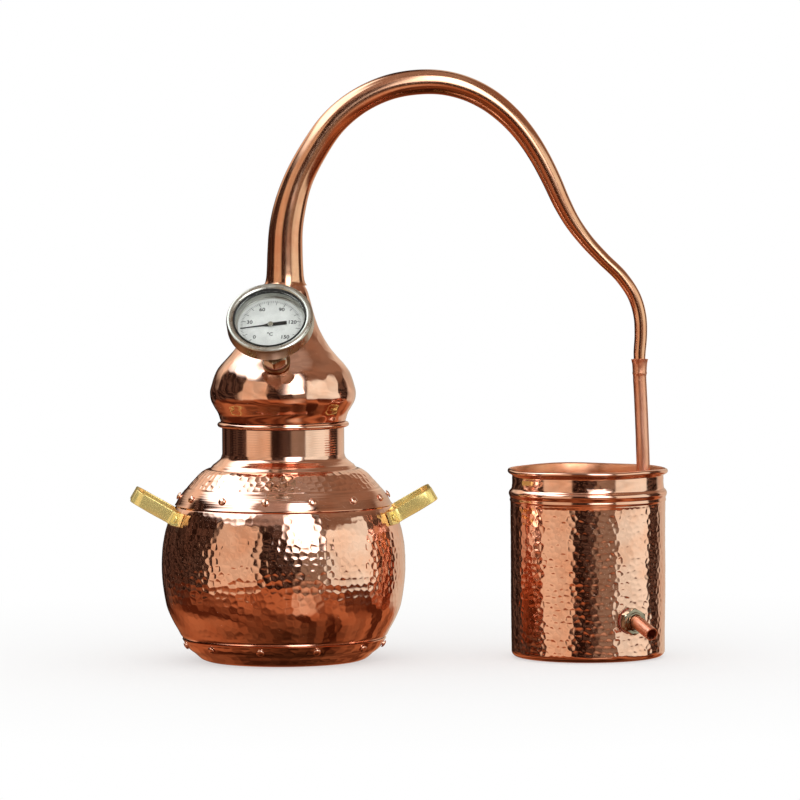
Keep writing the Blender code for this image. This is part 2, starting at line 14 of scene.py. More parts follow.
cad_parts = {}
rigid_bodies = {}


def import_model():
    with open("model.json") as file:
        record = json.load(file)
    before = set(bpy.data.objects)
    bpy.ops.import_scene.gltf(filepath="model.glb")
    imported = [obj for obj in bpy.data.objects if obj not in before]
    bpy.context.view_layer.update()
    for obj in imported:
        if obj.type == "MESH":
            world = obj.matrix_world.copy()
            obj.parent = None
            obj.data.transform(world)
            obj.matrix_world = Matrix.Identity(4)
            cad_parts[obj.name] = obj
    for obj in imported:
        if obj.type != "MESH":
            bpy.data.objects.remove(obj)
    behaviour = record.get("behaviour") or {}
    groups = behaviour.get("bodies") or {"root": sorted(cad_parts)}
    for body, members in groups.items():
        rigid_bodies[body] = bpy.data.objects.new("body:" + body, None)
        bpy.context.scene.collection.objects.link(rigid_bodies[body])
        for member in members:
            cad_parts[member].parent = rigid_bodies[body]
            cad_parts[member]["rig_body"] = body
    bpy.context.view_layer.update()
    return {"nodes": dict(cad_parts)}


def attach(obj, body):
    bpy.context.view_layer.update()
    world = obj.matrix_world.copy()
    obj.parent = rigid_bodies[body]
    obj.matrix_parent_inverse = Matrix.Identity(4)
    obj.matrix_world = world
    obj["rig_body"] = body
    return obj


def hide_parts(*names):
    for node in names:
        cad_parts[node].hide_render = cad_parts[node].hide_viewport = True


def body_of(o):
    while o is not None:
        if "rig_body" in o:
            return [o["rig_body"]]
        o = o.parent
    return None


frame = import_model()

# ---------------------------------------------------------------- dimensions
MM = 0.001
SHEET = 1.0
GAP = 0.3
LAP = SHEET + GAP
AXIS_DISTANCE = 214.6
COLLAR_R = 42.9
COLLAR_TOP = 163.2
COIL_R = 39.4
COIL_TUBE_R = 4.75
COIL_TUBE_WALL = 0.8
COIL_TOP_Z = 104.0
COIL_TURNS = 4
NECK_THIN_R = 6.0       # below this radius the neck's wall is thinner
NECK_THIN = 0.8
PLUG_X = 251.5
SOCKET_TOP = 209.4
OUTLET_Z = 29.0
OUTLET_AZ = 27.0
OUTLET_R = 54.5
OUTLET_AF = 17.0
OUTLET_BEND = 9.0
SPOUT_DROP = 20.0
SPOUT_KNEE = 9.5
SPOUT_LENGTH = 20.0

SHOULDER_RIVETS = 14
SHOULDER_RIVET_AZ = -11.5
SHOULDER_RIVET_Z = 115.4
BASE_RIVETS = 11
BASE_RIVET_AZ = -15.5
BASE_RIVET_Z = 11.2
SEAM_AZ = -11.0         # lap seam of the shoulder and the collar

HANDLE_TILT = 30.0
HANDLE_W = 9.6
HANDLE_T = 2.2
HANDLE_HALF = 23.0
HANDLE_REACH = 105.4
HANDLE_Z = 100.5
HANDLE_FOOT_AZ = 22.8
HANDLE_CORNER = 6.5
BELLY_LEAN = 20.5

THERMO_AZ = -8.0
THERMO_TILT = 40.0
THERMO_R = 41.05
THERMO_Z = 210.5
AF_HEX = 17.0
THREAD_PITCH = 1.337
READING = 20.0
DIAL_TOP = 42.8         # face of the dial, along the stem's axis
SCALE_START = -135.0
DEG_PER_C = 1.8
PRINT_DEPTH = 0.04

# outer lines as (radius, height) from the bottom up; a repeated point is a corner
PAN = [(0, 0), (55.5, 0), (58.5, 1.2), (62.6, 4.6), (67.9, 8.8), (70.7, 13.0),
       (71.7, 15.0)]
SHOULDER = [(76.35, 109.3), (73.0, 115.4), (68.9, 120.5), (63.0, 127.0),
            (58.8, 131.3), (53.4, 134.5), (51.1, 134.9), (45.9, 138.2)]
BELLY = [(66.6, 9.2), (69.5, 13.5), (70.5, 15.6), (72.4, 17.3), (74.9, 21.5),
         (78.6, 28.2), (82.0, 36.2), (84.4, 48.0), (85.7, 60.0), (85.8, 70.0),
         (84.9, 82.0), (82.5, 93.5), (79.6, 101.5), (76.6, 107.2),
         (75.2, 108.7), (71.9, 114.7), (68.4, 119.0)]
COLLAR = [(52.4, 135.3), (46.7, 139.2), (44.0, 141.8), (42.9, 144.8),
          (COLLAR_R, COLLAR_TOP)]
SKIRT = [(41.3, 148.0), (41.3, 163.0), (41.3, 163.0), (42.2, 163.6),
         (44.6, 163.7), (46.0, 164.5), (46.3, 165.5), (45.8, 166.6),
         (44.4, 167.4), (42.7, 168.0), (43.0, 169.8), (43.5, 172.0)]
DOME = [(43.9, 168.0), (45.6, 173.0), (48.5, 177.7), (50.9, 182.0),
        (51.8, 188.2), (50.4, 194.6), (47.2, 203.0), (43.8, 207.7),
        (40.1, 211.5), (32.9, 219.9), (27.3, 228.3), (22.9, 236.8),
        (19.9, 245.2), (17.4, 253.7), (15.5, 259.6), (14.0, 262.4),
        (12.9, 264.6), (12.1, 268.0), (11.8, 271.0)]
BUCKET_BASE = [(0, 0), (49.4, 0), (51.8, 0.6), (53.8, 2.6), (54.4, 5.2)]
BUCKET_WALL = [(54.4, 5.2), (54.6, 60.0), (54.7, 109.4)]
BUCKET_RIM = [(54.7, 109.4), (55.15, 110.8), (54.8, 112.2), (55.2, 113.4),
              (55.8, 115.4), (55.2, 117.3), (54.0, 118.6), (53.5, 121.0),
              (53.4, 126.0), (53.7, 129.2), (55.0, 129.9), (56.1, 130.7),
              (56.5, 131.9), (56.0, 133.1), (54.8, 133.5)]
BUCKET_INNER = [(0, 1.0), (49.2, 1.0), (49.2, 1.0), (51.2, 1.5), (52.9, 3.2),
                (53.35, 5.4), (53.35, 5.4), (53.5, 30.0), (53.6, 60.0), (53.65, 85.0),
                (53.7, 109.6), (53.7, 109.6), (53.9, 112.2), (54.7, 115.3), (53.1, 118.2),
                (52.4, 121.0), (52.4, 126.0), (52.6, 130.2), (53.3, 132.7)]

# centre line of the swan neck: x, z, outer radius
NECK = [(2.0, 262.9, 15.3), (2.0, 264.7, 14.2), (2.0, 268.2, 13.4),
        (2.0, 274.5, 12.9), (2.0, 285.0, 12.5), (2.9, 303.0, 11.9),
        (5.0, 315.0, 11.5), (10.9, 335.0, 10.4), (22.0, 356.6, 9.8),
        (37.7, 378.2, 9.4), (55.8, 392.5, 9.1), (77.3, 401.7, 8.9),
        (98.9, 405.0, 8.8), (115.5, 404.0, 8.6), (131.2, 399.7, 8.4),
        (145.3, 392.4, 8.2), (159.5, 381.0, 7.8), (171.3, 367.5, 7.4),
        (181.0, 352.5, 7.1), (189.2, 336.6, 6.8), (196.8, 319.9, 6.3),
        (203.9, 306.8, 5.7), (213.5, 293.6, 5.1), (225.7, 280.4, 4.75),
        (239.1, 267.0, 4.7), (247.8, 253.5, 4.65), (251.8, 239.5, 4.6),
        (252.4, 226.0, 4.5), (PLUG_X, 213.0, 4.3), (PLUG_X, 203.0, 3.7)]


# -------------------------------------------------------------------- camera
CAMERA_DISTANCE = 3500.0
CAMERA_HEIGHT = 370.0
CAMERA_AIM = (82.3, 0.0, 181.8)
CAMERA_AZ = -3.0
CAMERA_ROLL = -0.26
CAMERA_LENS = 224.0


def az_vec(az, up=0.0):
    """Unit vector pointing out at an azimuth from the front (+ to +X)."""
    a, e = radians(az), radians(up)
    return Vector((cos(e) * sin(a), -cos(e) * cos(a), sin(e)))


def add_object(name, data):
    ob = bpy.data.objects.new(name, data)
    bpy.context.scene.collection.objects.link(ob)
    return ob


def place_camera():
    data = bpy.data.cameras.new("camera")
    data.lens = CAMERA_LENS
    data.sensor_width = 36.0
    data.clip_end = 50.0
    ob = add_object("camera", data)
    aim = Vector(CAMERA_AIM)
    rise = CAMERA_HEIGHT - aim.z
    place = aim + az_vec(CAMERA_AZ) * (CAMERA_DISTANCE ** 2 - rise ** 2) ** 0.5
    place.z = CAMERA_HEIGHT
    look = (aim - place).to_track_quat('-Z', 'Y').to_matrix().to_4x4()
    ob.matrix_world = (Matrix.Translation(place * MM) @ look
                       @ Matrix.Rotation(radians(CAMERA_ROLL), 4, 'Z'))
    bpy.context.scene.camera = ob


# ---------------------------------------------------------------- mesh tools
def mesh_piece(name, points, quads, tris, mat, matrix=None, sharp=40.0):
    """Object from numpy arrays of points (mm), quads and triangles."""
    split = np.concatenate([points[quads[:, [0, 1, 2]]], points[quads[:, [0, 2, 3]]],
                            points[tris]])
    volume = np.einsum("ij,ij->i", split[:, 0], np.cross(split[:, 1], split[:, 2])).sum()
    if volume < 0:
        quads, tris = quads[:, ::-1], tris[:, ::-1]
    mesh = bpy.data.meshes.new(name)
    mesh.vertices.add(len(points))
    mesh.vertices.foreach_set("co", (points * MM).astype(np.float32).ravel())
    loops = np.concatenate([quads.ravel(), tris.ravel()]).astype(np.int32)
    mesh.loops.add(len(loops))
    mesh.loops.foreach_set("vertex_index", loops)
    starts = np.concatenate([np.arange(len(quads)) * 4,
                             len(quads) * 4 + np.arange(len(tris)) * 3]).astype(np.int32)
    mesh.polygons.add(len(starts))
    mesh.polygons.foreach_set("loop_start", starts)
    mesh.update(calc_edges=True)
    mesh.validate()
    mesh.shade_smooth()
    mesh.set_sharp_from_angle(angle=radians(sharp))
    mesh.materials.append(mat)
    ob = add_object(name, mesh)
    if matrix is not None:
        ob.matrix_world = matrix
    return ob


def loft(name, rings, mat, matrix=None, loop=True, poles=(None, None), sharp=40.0):
    """Closed skin through equal rings of points, shape (rings, columns, 3).

    loop joins the last ring to the first; poles are end points that close it
    instead.
    """
    rings = np.asarray(rings, float)
    count, columns = rings.shape[:2]
    points = rings.reshape(-1, 3)
    grid = np.arange(count * columns).reshape(count, columns)
    rows = np.vstack([grid, grid[:1]]) if loop else grid
    a, b = rows[:-1], rows[1:]
    quads = np.stack([a, b, np.roll(b, -1, 1), np.roll(a, -1, 1)], -1).reshape(-1, 4)
    tris = []
    for pole, ring, flip in ((poles[0], grid[0], False), (poles[1], grid[-1], True)):
        if pole is None:
            continue
        centre = np.full(columns, len(points))
        points = np.vstack([points, pole])
        fan = np.stack([centre, ring, np.roll(ring, -1)], -1)
        tris.append(fan[:, ::-1] if flip else fan)
    tris = np.vstack(tris) if tris else np.zeros((0, 3), int)
    return mesh_piece(name, points, quads, tris, mat, matrix, sharp)


def spline(points, step):
    """Smooth line through points of any dimension, about a point every step.

    The line is broken at a repeated point, which stays a corner.
    """
    runs = [[points[0]]]
    for p, q in zip(points, points[1:]):
        if tuple(p) == tuple(q):
            runs.append([q])
        else:
            runs[-1].append(q)
    out = []
    for run in runs:
        pts = np.array(run, float)
        spans = np.linalg.norm(np.diff(pts, axis=0), axis=1)
        at = np.concatenate([[0], np.cumsum(spans)])
        slopes = np.gradient(pts, at, axis=0) if len(pts) > 2 else \
            np.repeat((pts[1:] - pts[:-1]) / spans[:, None], 2, 0)
        for i, span in enumerate(spans):
            n = max(1, int(round(span / step)))
            t = (np.arange(n) / n)[:, None]
            h00 = 2 * t ** 3 - 3 * t ** 2 + 1
            h10 = t ** 3 - 2 * t ** 2 + t
            out.append(h00 * pts[i] + h10 * span * slopes[i]
                       + (1 - h00) * pts[i + 1] + (t ** 3 - t ** 2) * span * slopes[i + 1])
        out.append(pts[-1:])
    line = np.vstack(out)
    keep = np.concatenate([[True], np.linalg.norm(np.diff(line, axis=0), axis=1) > 1e-6])
    return line[keep]


def tangents(line):
    along = np.gradient(line, axis=0)
    return along / np.linalg.norm(along, axis=1)[:, None]


def normals_of(line):
    """Outward normals of an (r, z) line drawn from the bottom up."""
    tangent = tangents(line)
    return np.stack([tangent[:, 1], -tangent[:, 0]], -1)


def arc_lengths(line):
    return np.concatenate([[0], np.cumsum(np.linalg.norm(np.diff(line, axis=0), axis=1))])


def smooth(x, low, high):
    t = np.clip((x - low) / (high - low), 0.0, 1.0)
    return t * t * (3 - 2 * t)


def revolve(line, theta, dent=None, centre=None):
    """Rings of the (r, z) line; dent(theta, s, r, z) is a depth into the skin."""
    line = np.asarray(line, float)
    r, th = np.meshgrid(line[:, 0], theta, indexing="ij")
    z = np.meshgrid(line[:, 1], theta, indexing="ij")[0]
    if dent is not None:
        s = np.meshgrid(arc_lengths(line), theta, indexing="ij")[0]
        n = normals_of(line)
        d = dent(th, s, r, z)
        r = r - n[:, :1] * d
        z = z - n[:, 1:] * d
    cx = centre(z) if centre else 0.0
    return np.stack([cx + r * np.cos(th), r * np.sin(th), z], -1)


def shell(name, outer, inner, columns, mat, dent=None, centre=None):
    """Turned sheet: outer and inner (r, z) lines, both from the bottom up."""
    theta = np.linspace(0, 2 * pi, columns, endpoint=False)
    outer = np.asarray(outer, float)
    inner = np.asarray(inner, float)
    has_poles = outer[0, 0] == 0
    poles = (None, None)
    if has_poles:
        poles = ((0, 0, outer[0, 1]), (0, 0, inner[0, 1]))
        outer, inner = outer[1:], inner[1:]
    rings = np.concatenate([revolve(outer, theta, dent, centre),
                            revolve(inner[::-1], theta, None, centre)])
    return loft(name, rings, mat, loop=not has_poles, poles=poles)


def inside_of(line, depth, points):
    """A coarse line parallel to the outer one, depth inside it."""
    picks = np.unique(np.linspace(0, len(line) - 1, points).round().astype(int))
    moved = line - normals_of(line) * depth
    return moved[picks]


def rounded(corners, radius, steps=4):
    """Closed (r, z) outline with its corners turned into small arcs."""
    pts = [np.array(p, float) for p in corners]
    out = []
    for i, p in enumerate(pts):
        a, b = pts[i - 1] - p, pts[(i + 1) % len(pts)] - p
        la, lb = np.linalg.norm(a), np.linalg.norm(b)
        cut = min(radius, 0.45 * la, 0.45 * lb)
        if p[0] == 0 or cut < 1e-3:
            out.append(p)
            continue
        start, end = p + a / la * cut, p + b / lb * cut
        for k in range(steps + 1):
            t = k / steps
            out.append(start * (1 - t) ** 2 + p * (2 * t * (1 - t)) + end * t ** 2)
    return np.array(out)


def turned(name, corners, mat, matrix, radius=0.3, columns=96):
    """Solid of revolution from a closed outline with rounded corners."""
    line = rounded(corners, radius)
    theta = np.linspace(0, 2 * pi, columns, endpoint=False)
    if corners[0][0] == 0:
        poles = ((0, 0, line[0, 1]), (0, 0, line[-1, 1]))
        return loft(name, revolve(line[1:-1], theta), mat, matrix, False, poles, 30.0)
    return loft(name, revolve(line, theta), mat, matrix, True, sharp=30.0)


def hex_radius(theta, flats, corner=0.97):
    """Radius of a hexagon with slightly rounded corners."""
    b = (theta + pi / 6) % (pi / 3) - pi / 6
    return np.minimum(flats / 2 / np.cos(b), flats / 2 / cos(pi / 6) * corner)


def hex_rings(rows, flats):
    """Rings of a hexagonal turned piece; rows are (radius, height, is it a hexagon)."""
    theta = np.linspace(0, 2 * pi, 96, endpoint=False)
    rings = []
    for r, z, is_hex in rows:
        ring = np.minimum(r, hex_radius(theta, flats)) if is_hex else np.full_like(theta, r)
        rings.append(np.stack([ring * np.cos(theta), ring * np.sin(theta),
                               np.full_like(theta, z)], -1))
    return np.array(rings)


def frames(path):
    """Two normals at every point of a path, carried along it from +Y."""
    tangent = tangents(path)
    side = np.array((0.0, 1.0, 0.0))
    sides = []
    for t in tangent:
        side = side - t * side.dot(t)
        side /= np.linalg.norm(side)
        sides.append(side)
    sides = np.array(sides)
    return sides, np.cross(tangent, sides)


def tube(name, path, radii, walls, sides, mat, dent, inner_every=3):
    """Open tube along a path, with its bore."""
    u, v = frames(path)
    angle = np.linspace(0, 2 * pi, sides, endpoint=False)

    def skin(radius, picks):
        ring = (u[picks, None, :] * np.cos(angle)[None, :, None]
                + v[picks, None, :] * np.sin(angle)[None, :, None])
        return path[picks, None, :] + ring * radius[picks, None, None]

    every = np.arange(len(path))
    coarse = np.unique(np.concatenate([every[::inner_every], every[-1:]]))
    outer = skin(radii, every)
    away = (outer - path[:, None, :]) / radii[:, None, None]
    outer = outer - away * dent(arc_lengths(path)[:, None], angle[None, :])[..., None]
    rings = np.concatenate([outer, skin(radii - walls, coarse[::-1])])
    return loft(name, rings, mat, sharp=50.0)


def frame_at(point, axis, up=(0, 0, 1)):
    """Matrix with local Z along the axis and local Y as near up as it gets."""
    z = Vector(axis).normalized()
    y = Vector(up) - z * z.dot(Vector(up))
    y.normalize()
    x = y.cross(z)
    m = Matrix((x, y, z)).transposed().to_4x4()
    m.translation = Vector(point) * MM
    return m


def radius_at(line, z):
    """Radius at a height of an (r, z) outline, and the degrees its normal points up."""
    for (r0, z0), (r1, z1) in zip(line, line[1:]):
        if z0 <= z <= z1 and z1 > z0:
            return r0 + (r1 - r0) * (z - z0) / (z1 - z0), degrees(atan2(r0 - r1, z1 - z0))
    raise ValueError(z)


def stand_for(piece, slot, *nodes):
    """The piece rides on the body of the CAD nodes that it replaces."""
    body = body_of(frame["nodes"][nodes[0]])[0]
    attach(piece, body)
    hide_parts(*nodes)
    return piece


# ------------------------------------------------------------- surface marks
def hammer(theta, s, r, wide, seed, slope=4.0, ridge=0.10, jitter=0.2):
    """Depth of the dished marks of a planishing hammer, laid like bricks.

    Marks are about wide mm across; slope is that of a dish at its edge in
    degrees, and ridge the height in mm of the crest between two dishes.
    """
    rng = np.random.default_rng(seed)
    high = 0.866 * wide
    rows = int(s.max() / high) + 5
    row_r = np.interp((np.arange(rows) - 2) * high, s[:, 0], r[:, 0])
    counts = np.maximum(8, np.round(2 * pi * row_r / wide)).astype(int)
    most = counts.max()
    jog = rng.uniform(-jitter, jitter, (2, rows, most))
    size = rng.uniform(-1.0, 1.0, (rows, most))
    deep = rng.uniform(0.6, 1.4, (rows, most))
    start = 0.5 * (np.arange(rows) % 2) + rng.uniform(-0.12, 0.12, rows)
    base = np.floor(s / high).astype(int) + 2
    nearest = np.full_like(s, 1e6)
    second = np.full_like(s, 1e6)
    total = np.zeros_like(s)
    weight = np.zeros_like(s)
    for up in (-1, 0, 1):
        k = np.clip(base + up, 0, rows - 1)
        n = counts[k]
        col = np.floor(theta / (2 * pi) * n - start[k]).astype(int)
        for across in (-1, 0, 1):
            c = (col + across) % n
            at = (col + across + start[k] + 0.5 + jog[0, k, c]) * 2 * pi / n
            ds = s - (k - 2 + 0.5 + jog[1, k, c]) * high
            dt = (theta - at) * r
            dist = dt ** 2 + ds ** 2 + size[k, c]
            second = np.minimum(second, np.maximum(dist, nearest))
            nearest = np.minimum(nearest, dist)
            w = np.exp(-0.5 * np.minimum(dist, 60.0))
            total += w * deep[k, c]
            weight += w
    border = (second - nearest) / (2 * wide)
    crest = 1 - np.exp(-(border / 0.75) ** 2)
    cap = (0.6 * wide) ** 2
    dish = tan(radians(slope)) / wide * np.maximum(cap - nearest, 0.0)
    return (dish + ridge * crest) * total / weight


def ripple(theta, z, size, seed, waves=7, long_wave=60.0):
    """Slow unevenness of a hand-made sheet, closed round the circle."""
    rng = np.random.default_rng(seed)
    out = np.zeros_like(theta)
    for k in range(waves):
        turns = rng.integers(1, 9)
        lean = rng.uniform(-1, 1) * 2 * pi / long_wave
        phase = rng.uniform(0, 2 * pi)
        out += np.sin(turns * theta + lean * z + phase)
    return size * (0.5 + 0.5 * out / waves ** 0.5)


def seam(theta, r):
    """Lap seam: the skin steps in by 0.12 mm and comes back over 18 mm."""
    at = radians(SEAM_AZ - 90.0)
    along = ((theta - at) % (2 * pi)) * r
    return 0.12 * np.clip(1 - along / 18.0, 0, 1) * smooth(along, 0.0, 1.1)


# ----------------------------------------------------------------- materials
def start_material(name):
    mat = bpy.data.materials.new(name)
    mat.use_nodes = True
    tree = mat.node_tree
    return mat, tree, tree.nodes["Principled BSDF"]


def noise(tree, scale, detail=3.0, rough=0.5, stretch=(1, 1, 1)):
    coords = tree.nodes.new("ShaderNodeTexCoord")
    mapping = tree.nodes.new("ShaderNodeMapping")
    mapping.inputs["Scale"].default_value = stretch
    node = tree.nodes.new("ShaderNodeTexNoise")
    node.inputs["Scale"].default_value = scale
    node.inputs["Detail"].default_value = detail
    node.inputs["Roughness"].default_value = rough
    tree.links.new(coords.outputs["Object"], mapping.inputs["Vector"])
    tree.links.new(mapping.outputs["Vector"], node.inputs["Vector"])
    return node.outputs["Fac"]


def ramp(tree, value, stops):
    node = tree.nodes.new("ShaderNodeValToRGB")
    node.color_ramp.elements[0].position = stops[0][0]
    node.color_ramp.elements[0].color = (*stops[0][1], 1)
    node.color_ramp.elements[1].position = stops[-1][0]
    node.color_ramp.elements[1].color = (*stops[-1][1], 1)
    for at, colour in stops[1:-1]:
        node.color_ramp.elements.new(at).color = (*colour, 1)
    tree.links.new(value, node.inputs["Fac"])
    return node.outputs["Color"]


def spread(tree, value, low, high, out_low, out_high):
    node = tree.nodes.new("ShaderNodeMapRange")
    node.inputs["From Min"].default_value = low
    node.inputs["From Max"].default_value = high
    node.inputs["To Min"].default_value = out_low
    node.inputs["To Max"].default_value = out_high
    tree.links.new(value, node.inputs["Value"])
    return node.outputs["Result"]


def bump(tree, value, height_mm, shader):
    node = tree.nodes.new("ShaderNodeBump")
    node.inputs["Strength"].default_value = 1.0
    node.inputs["Distance"].default_value = height_mm * MM
    tree.links.new(value, node.inputs["Height"])
    tree.links.new(node.outputs["Normal"], shader.inputs["Normal"])


def mix_into(tree, factor, low, high, out):
    """Mix of two shaders by a factor, linked to a material's output."""
    mix = tree.nodes.new("ShaderNodeMixShader")
    for socket, source in (("Fac", factor), (1, low), (2, high)):
        tree.links.new(source, mix.inputs[socket])
    tree.links.new(mix.outputs["Shader"], out.inputs["Surface"])


def metal(name, light, dark, rough, grain_mm=0.003, stretch=(1, 1, 1), blotch=45.0,
          metallic=1.0, uneven=1.0):
    """Metal with soft tarnish, uneven polish and a fine grain."""
    mat, tree, shader = start_material(name)
    shader.inputs["Metallic"].default_value = metallic
    colour = ramp(tree, noise(tree, blotch, 4.0, 0.6), [(0.36, dark), (0.58, light)])
    tree.links.new(colour, shader.inputs["Base Color"])
    polish = spread(tree, noise(tree, 130.0, 5.0, 0.7, stretch), 0.3, 0.7,
                    rough * (1 - 0.3 * uneven), rough * (1 + 0.4 * uneven))
    tree.links.new(polish, shader.inputs["Roughness"])
    bump(tree, noise(tree, 1500.0, 3.0, 0.6, stretch), grain_mm, shader)
    return mat


def plain(name, colour, rough, glow=0.0):
    """Non-metal with a slightly uneven skin; glow is light of its own."""
    mat, tree, shader = start_material(name)
    shader.inputs["Emission Color"].default_value = (1, 1, 1, 1)
    shader.inputs["Emission Strength"].default_value = glow
    darker = tuple(c * 0.86 for c in colour)
    tint = ramp(tree, noise(tree, 160.0), [(0.35, darker), (0.65, colour)])
    tree.links.new(tint, shader.inputs["Base Color"])
    polish = spread(tree, noise(tree, 300.0), 0.3, 0.7, rough * 0.85, rough * 1.15)
    tree.links.new(polish, shader.inputs["Roughness"])
    bump(tree, noise(tree, 900.0), 0.01, shader)
    return mat


def bare_material(name):
    mat, tree, _ = start_material(name)
    tree.nodes.clear()
    return mat, tree, tree.nodes.new("ShaderNodeOutputMaterial")


def clear_glass():
    """Flat dial glass: clear, with a reflection that grows at grazing angles."""
    mat, tree, out = bare_material("glass")
    through = tree.nodes.new("ShaderNodeBsdfTransparent")
    through.inputs["Color"].default_value = (0.97, 0.98, 0.97, 1)
    gloss = tree.nodes.new("ShaderNodeBsdfGlossy")
    fresnel = tree.nodes.new("ShaderNodeFresnel")
    fresnel.inputs["IOR"].default_value = 1.15
    smear = spread(tree, noise(tree, 60.0), 0.35, 0.7, 0.02, 0.07)
    tree.links.new(smear, gloss.inputs["Roughness"])
    mix_into(tree, fresnel.outputs["Fac"], through.outputs["BSDF"], gloss.outputs["BSDF"], out)
    return mat


COPPER = metal("copper", (0.955, 0.638, 0.520), (0.93, 0.54, 0.40), 0.09)
COPPER_TURNED = metal("copper_turned", (0.955, 0.638, 0.520), (0.92, 0.55, 0.41), 0.10,
                      grain_mm=0.005, stretch=(0.05, 0.05, 1.0))
COPPER_TUBE = metal("copper_tube", (0.86, 0.50, 0.33), (0.80, 0.40, 0.25), 0.16,
                    grain_mm=0.001, uneven=0.4)
COPPER_DULL = metal("copper_dull", (0.90, 0.45, 0.27), (0.84, 0.37, 0.20), 0.38)
COPPER_SATIN = metal("copper_matte", (0.93, 0.52, 0.38), (0.86, 0.42, 0.27), 0.36,
                     grain_mm=0.001, uneven=0.3)
BRASS = metal("brass", (1.0, 0.82, 0.31), (0.98, 0.78, 0.27), 0.22, grain_mm=0.0008,
              blotch=25.0, metallic=0.6, uneven=0.2)
BRASS_DARK = metal("brass_dark", (0.36, 0.22, 0.12), (0.24, 0.14, 0.08), 0.35)
NICKEL = metal("nickel", (0.46, 0.43, 0.34), (0.24, 0.22, 0.17), 0.16)
STEEL = metal("steel", (0.61, 0.63, 0.58), (0.49, 0.51, 0.47), 0.30, stretch=(1, 1, 0.2))
STEEL_BRIGHT = metal("steel_bright", (0.62, 0.62, 0.56), (0.50, 0.50, 0.44), 0.10)
# darker copy of the aluminium for the dial ring's cone and wall: painted shade in the recess under
# the bezel
STEEL_RECESS_SHADE = metal("steel_recess_shade", (0.58, 0.59, 0.55), (0.52, 0.53, 0.49), 0.45, metallic=0.6)
BIMETAL = metal("bimetal", (0.55, 0.50, 0.42), (0.45, 0.40, 0.33), 0.35)
ALUMINIUM = metal("aluminium", (0.80, 0.81, 0.79), (0.70, 0.71, 0.69), 0.42)
# the dial face glows a little though it is no lamp: painted light that brightens it in its recess
DIAL_WHITE_GLOWING = plain("dial_white", (0.96, 0.96, 0.95), 0.5, glow=0.10)
PRINT = plain("dial_print", (0.03, 0.03, 0.035), 0.6)
NEEDLE_BLACK = plain("needle_black", (0.015, 0.015, 0.017), 0.4)
RUBBER = plain("black_rubber", (0.02, 0.02, 0.02), 0.6)
FIBRE = plain("fibre", (0.40, 0.11, 0.07), 0.75)
GLASS = clear_glass()


# ----------------------------------------------------------------------- pot
def make_belly():
    line = np.vstack([spline(BELLY[:3], 2.0)[:-1], spline(BELLY[2:], 0.82)])

    def dent(theta, s, r, z):
        marks = hammer(theta, s, r, 5.6, seed=11, slope=4.3, ridge=0.13, jitter=0.3)
        inside_lap = smooth(z, 16.0, 20.0) * smooth(-z, -108.5, -106.0)
        worked = (0.28 + 0.72 * smooth(z, 36.0, 62.0)) * (1 - 0.65 * smooth(z, 86.0, 95.0))
        return (marks * worked + ripple(theta, z, 0.35, 3)) * inside_lap

    ob = shell("belly_hammered", line, inside_of(line, SHEET, 12), 636, COPPER, dent)
    stand_for(ob, "copper", "pot_belly")


def make_base():
    line = np.vstack([spline(PAN[:2], 8.0)[:-1], spline(PAN[1:], 0.6)])

    def dent(theta, s, r, z):
        marks = hammer(theta, s, r, 7.0, seed=21, slope=2.0, ridge=0.03)
        rounded_off = smooth(z, 0.6, 3.0) * smooth(-z, -14.6, -13.0)
        return (marks + ripple(theta, z, 0.2, 5)) * rounded_off

    inner = inside_of(line, SHEET, 16)
    inner[0] = (0, SHEET)
    ob = shell("base_pan_rolled", line, inner, 420, COPPER, dent)
    stand_for(ob, "copper", "pot_base")


def make_shoulder():
    line = spline(SHOULDER, 0.45)

    def dent(theta, s, r, z):
        marks = hammer(theta, s, r, 5.8, seed=31, slope=4.5, ridge=0.10, jitter=0.26)
        worked = smooth(z, 121.5, 123.5) * smooth(-z, -135.5, -133.5)
        edge = smooth(z, 109.4, 110.4)
        groove = 0.22 * np.exp(-((z - 121.2) / 0.7) ** 2)
        turned_lines = (0.02 * np.sin(z * 2 * pi / 1.5)
                        * smooth(z, 111.0, 112.0) * smooth(-z, -120.0, -119.0))
        return (marks * worked + groove + turned_lines
                + ripple(theta, z, 0.25, 7) * edge + seam(theta, r) * edge)

    ob = shell("shoulder_lapped", line, inside_of(line, SHEET, 10), 720, COPPER, dent)
    stand_for(ob, "copper", "pot_shoulder")


def make_collar():
    line = spline([*COLLAR[:4], COLLAR[3], (COLLAR_R, 154.0), COLLAR[4]], 0.4)

    def dent(theta, s, r, z):
        lines = 0.02 * (1 + np.sin(z * 2 * pi / 1.7)) * smooth(z, 145.0, 147.0)
        feather = 1.0 * (1 - smooth(s, 0.0, 4.0))
        return lines + feather + seam(theta, r) * smooth(z, 136.5, 139.0)

    ob = shell("collar_turned", line, inside_of(line, SHEET, 8), 480, COPPER_TURNED, dent)
    stand_for(ob, "copper", "pot_collar")


def rivet_mesh(name, head, rise, grip, shank, mat):
    """Domed head with a small flat edge, and its shank down to the tail."""
    dome = [(head * cos(radians(a)), GAP + 0.25 + (rise - 0.25) * sin(radians(a)))
            for a in range(0, 90, 9)]
    tail = -grip - GAP - 0.4
    line = [(0, tail - 0.8), (shank + 0.7, tail - 0.6), (shank + 0.8, tail), (shank, tail),
            (shank, GAP), (head * 0.97, GAP), *dome, (0, GAP + rise)]
    theta = np.linspace(0, 2 * pi, 28, endpoint=False)
    rings = revolve(line[1:-1], theta)
    flat = 1 - 0.05 * smooth(rings[..., 2], GAP + rise * 0.6, GAP + rise) * np.cos(2 * theta + 0.6)
    rings[..., :2] *= flat[..., None]
    return loft(name, rings, mat, None, False, ((0, 0, line[0][1]), (0, 0, line[-1][1])), 50.0)


def rivet_copy(source, name, matrix, spin):
    ob = add_object(name, source.data)
    ob.matrix_world = matrix @ Matrix.Rotation(spin, 4, 'Z')
    return ob


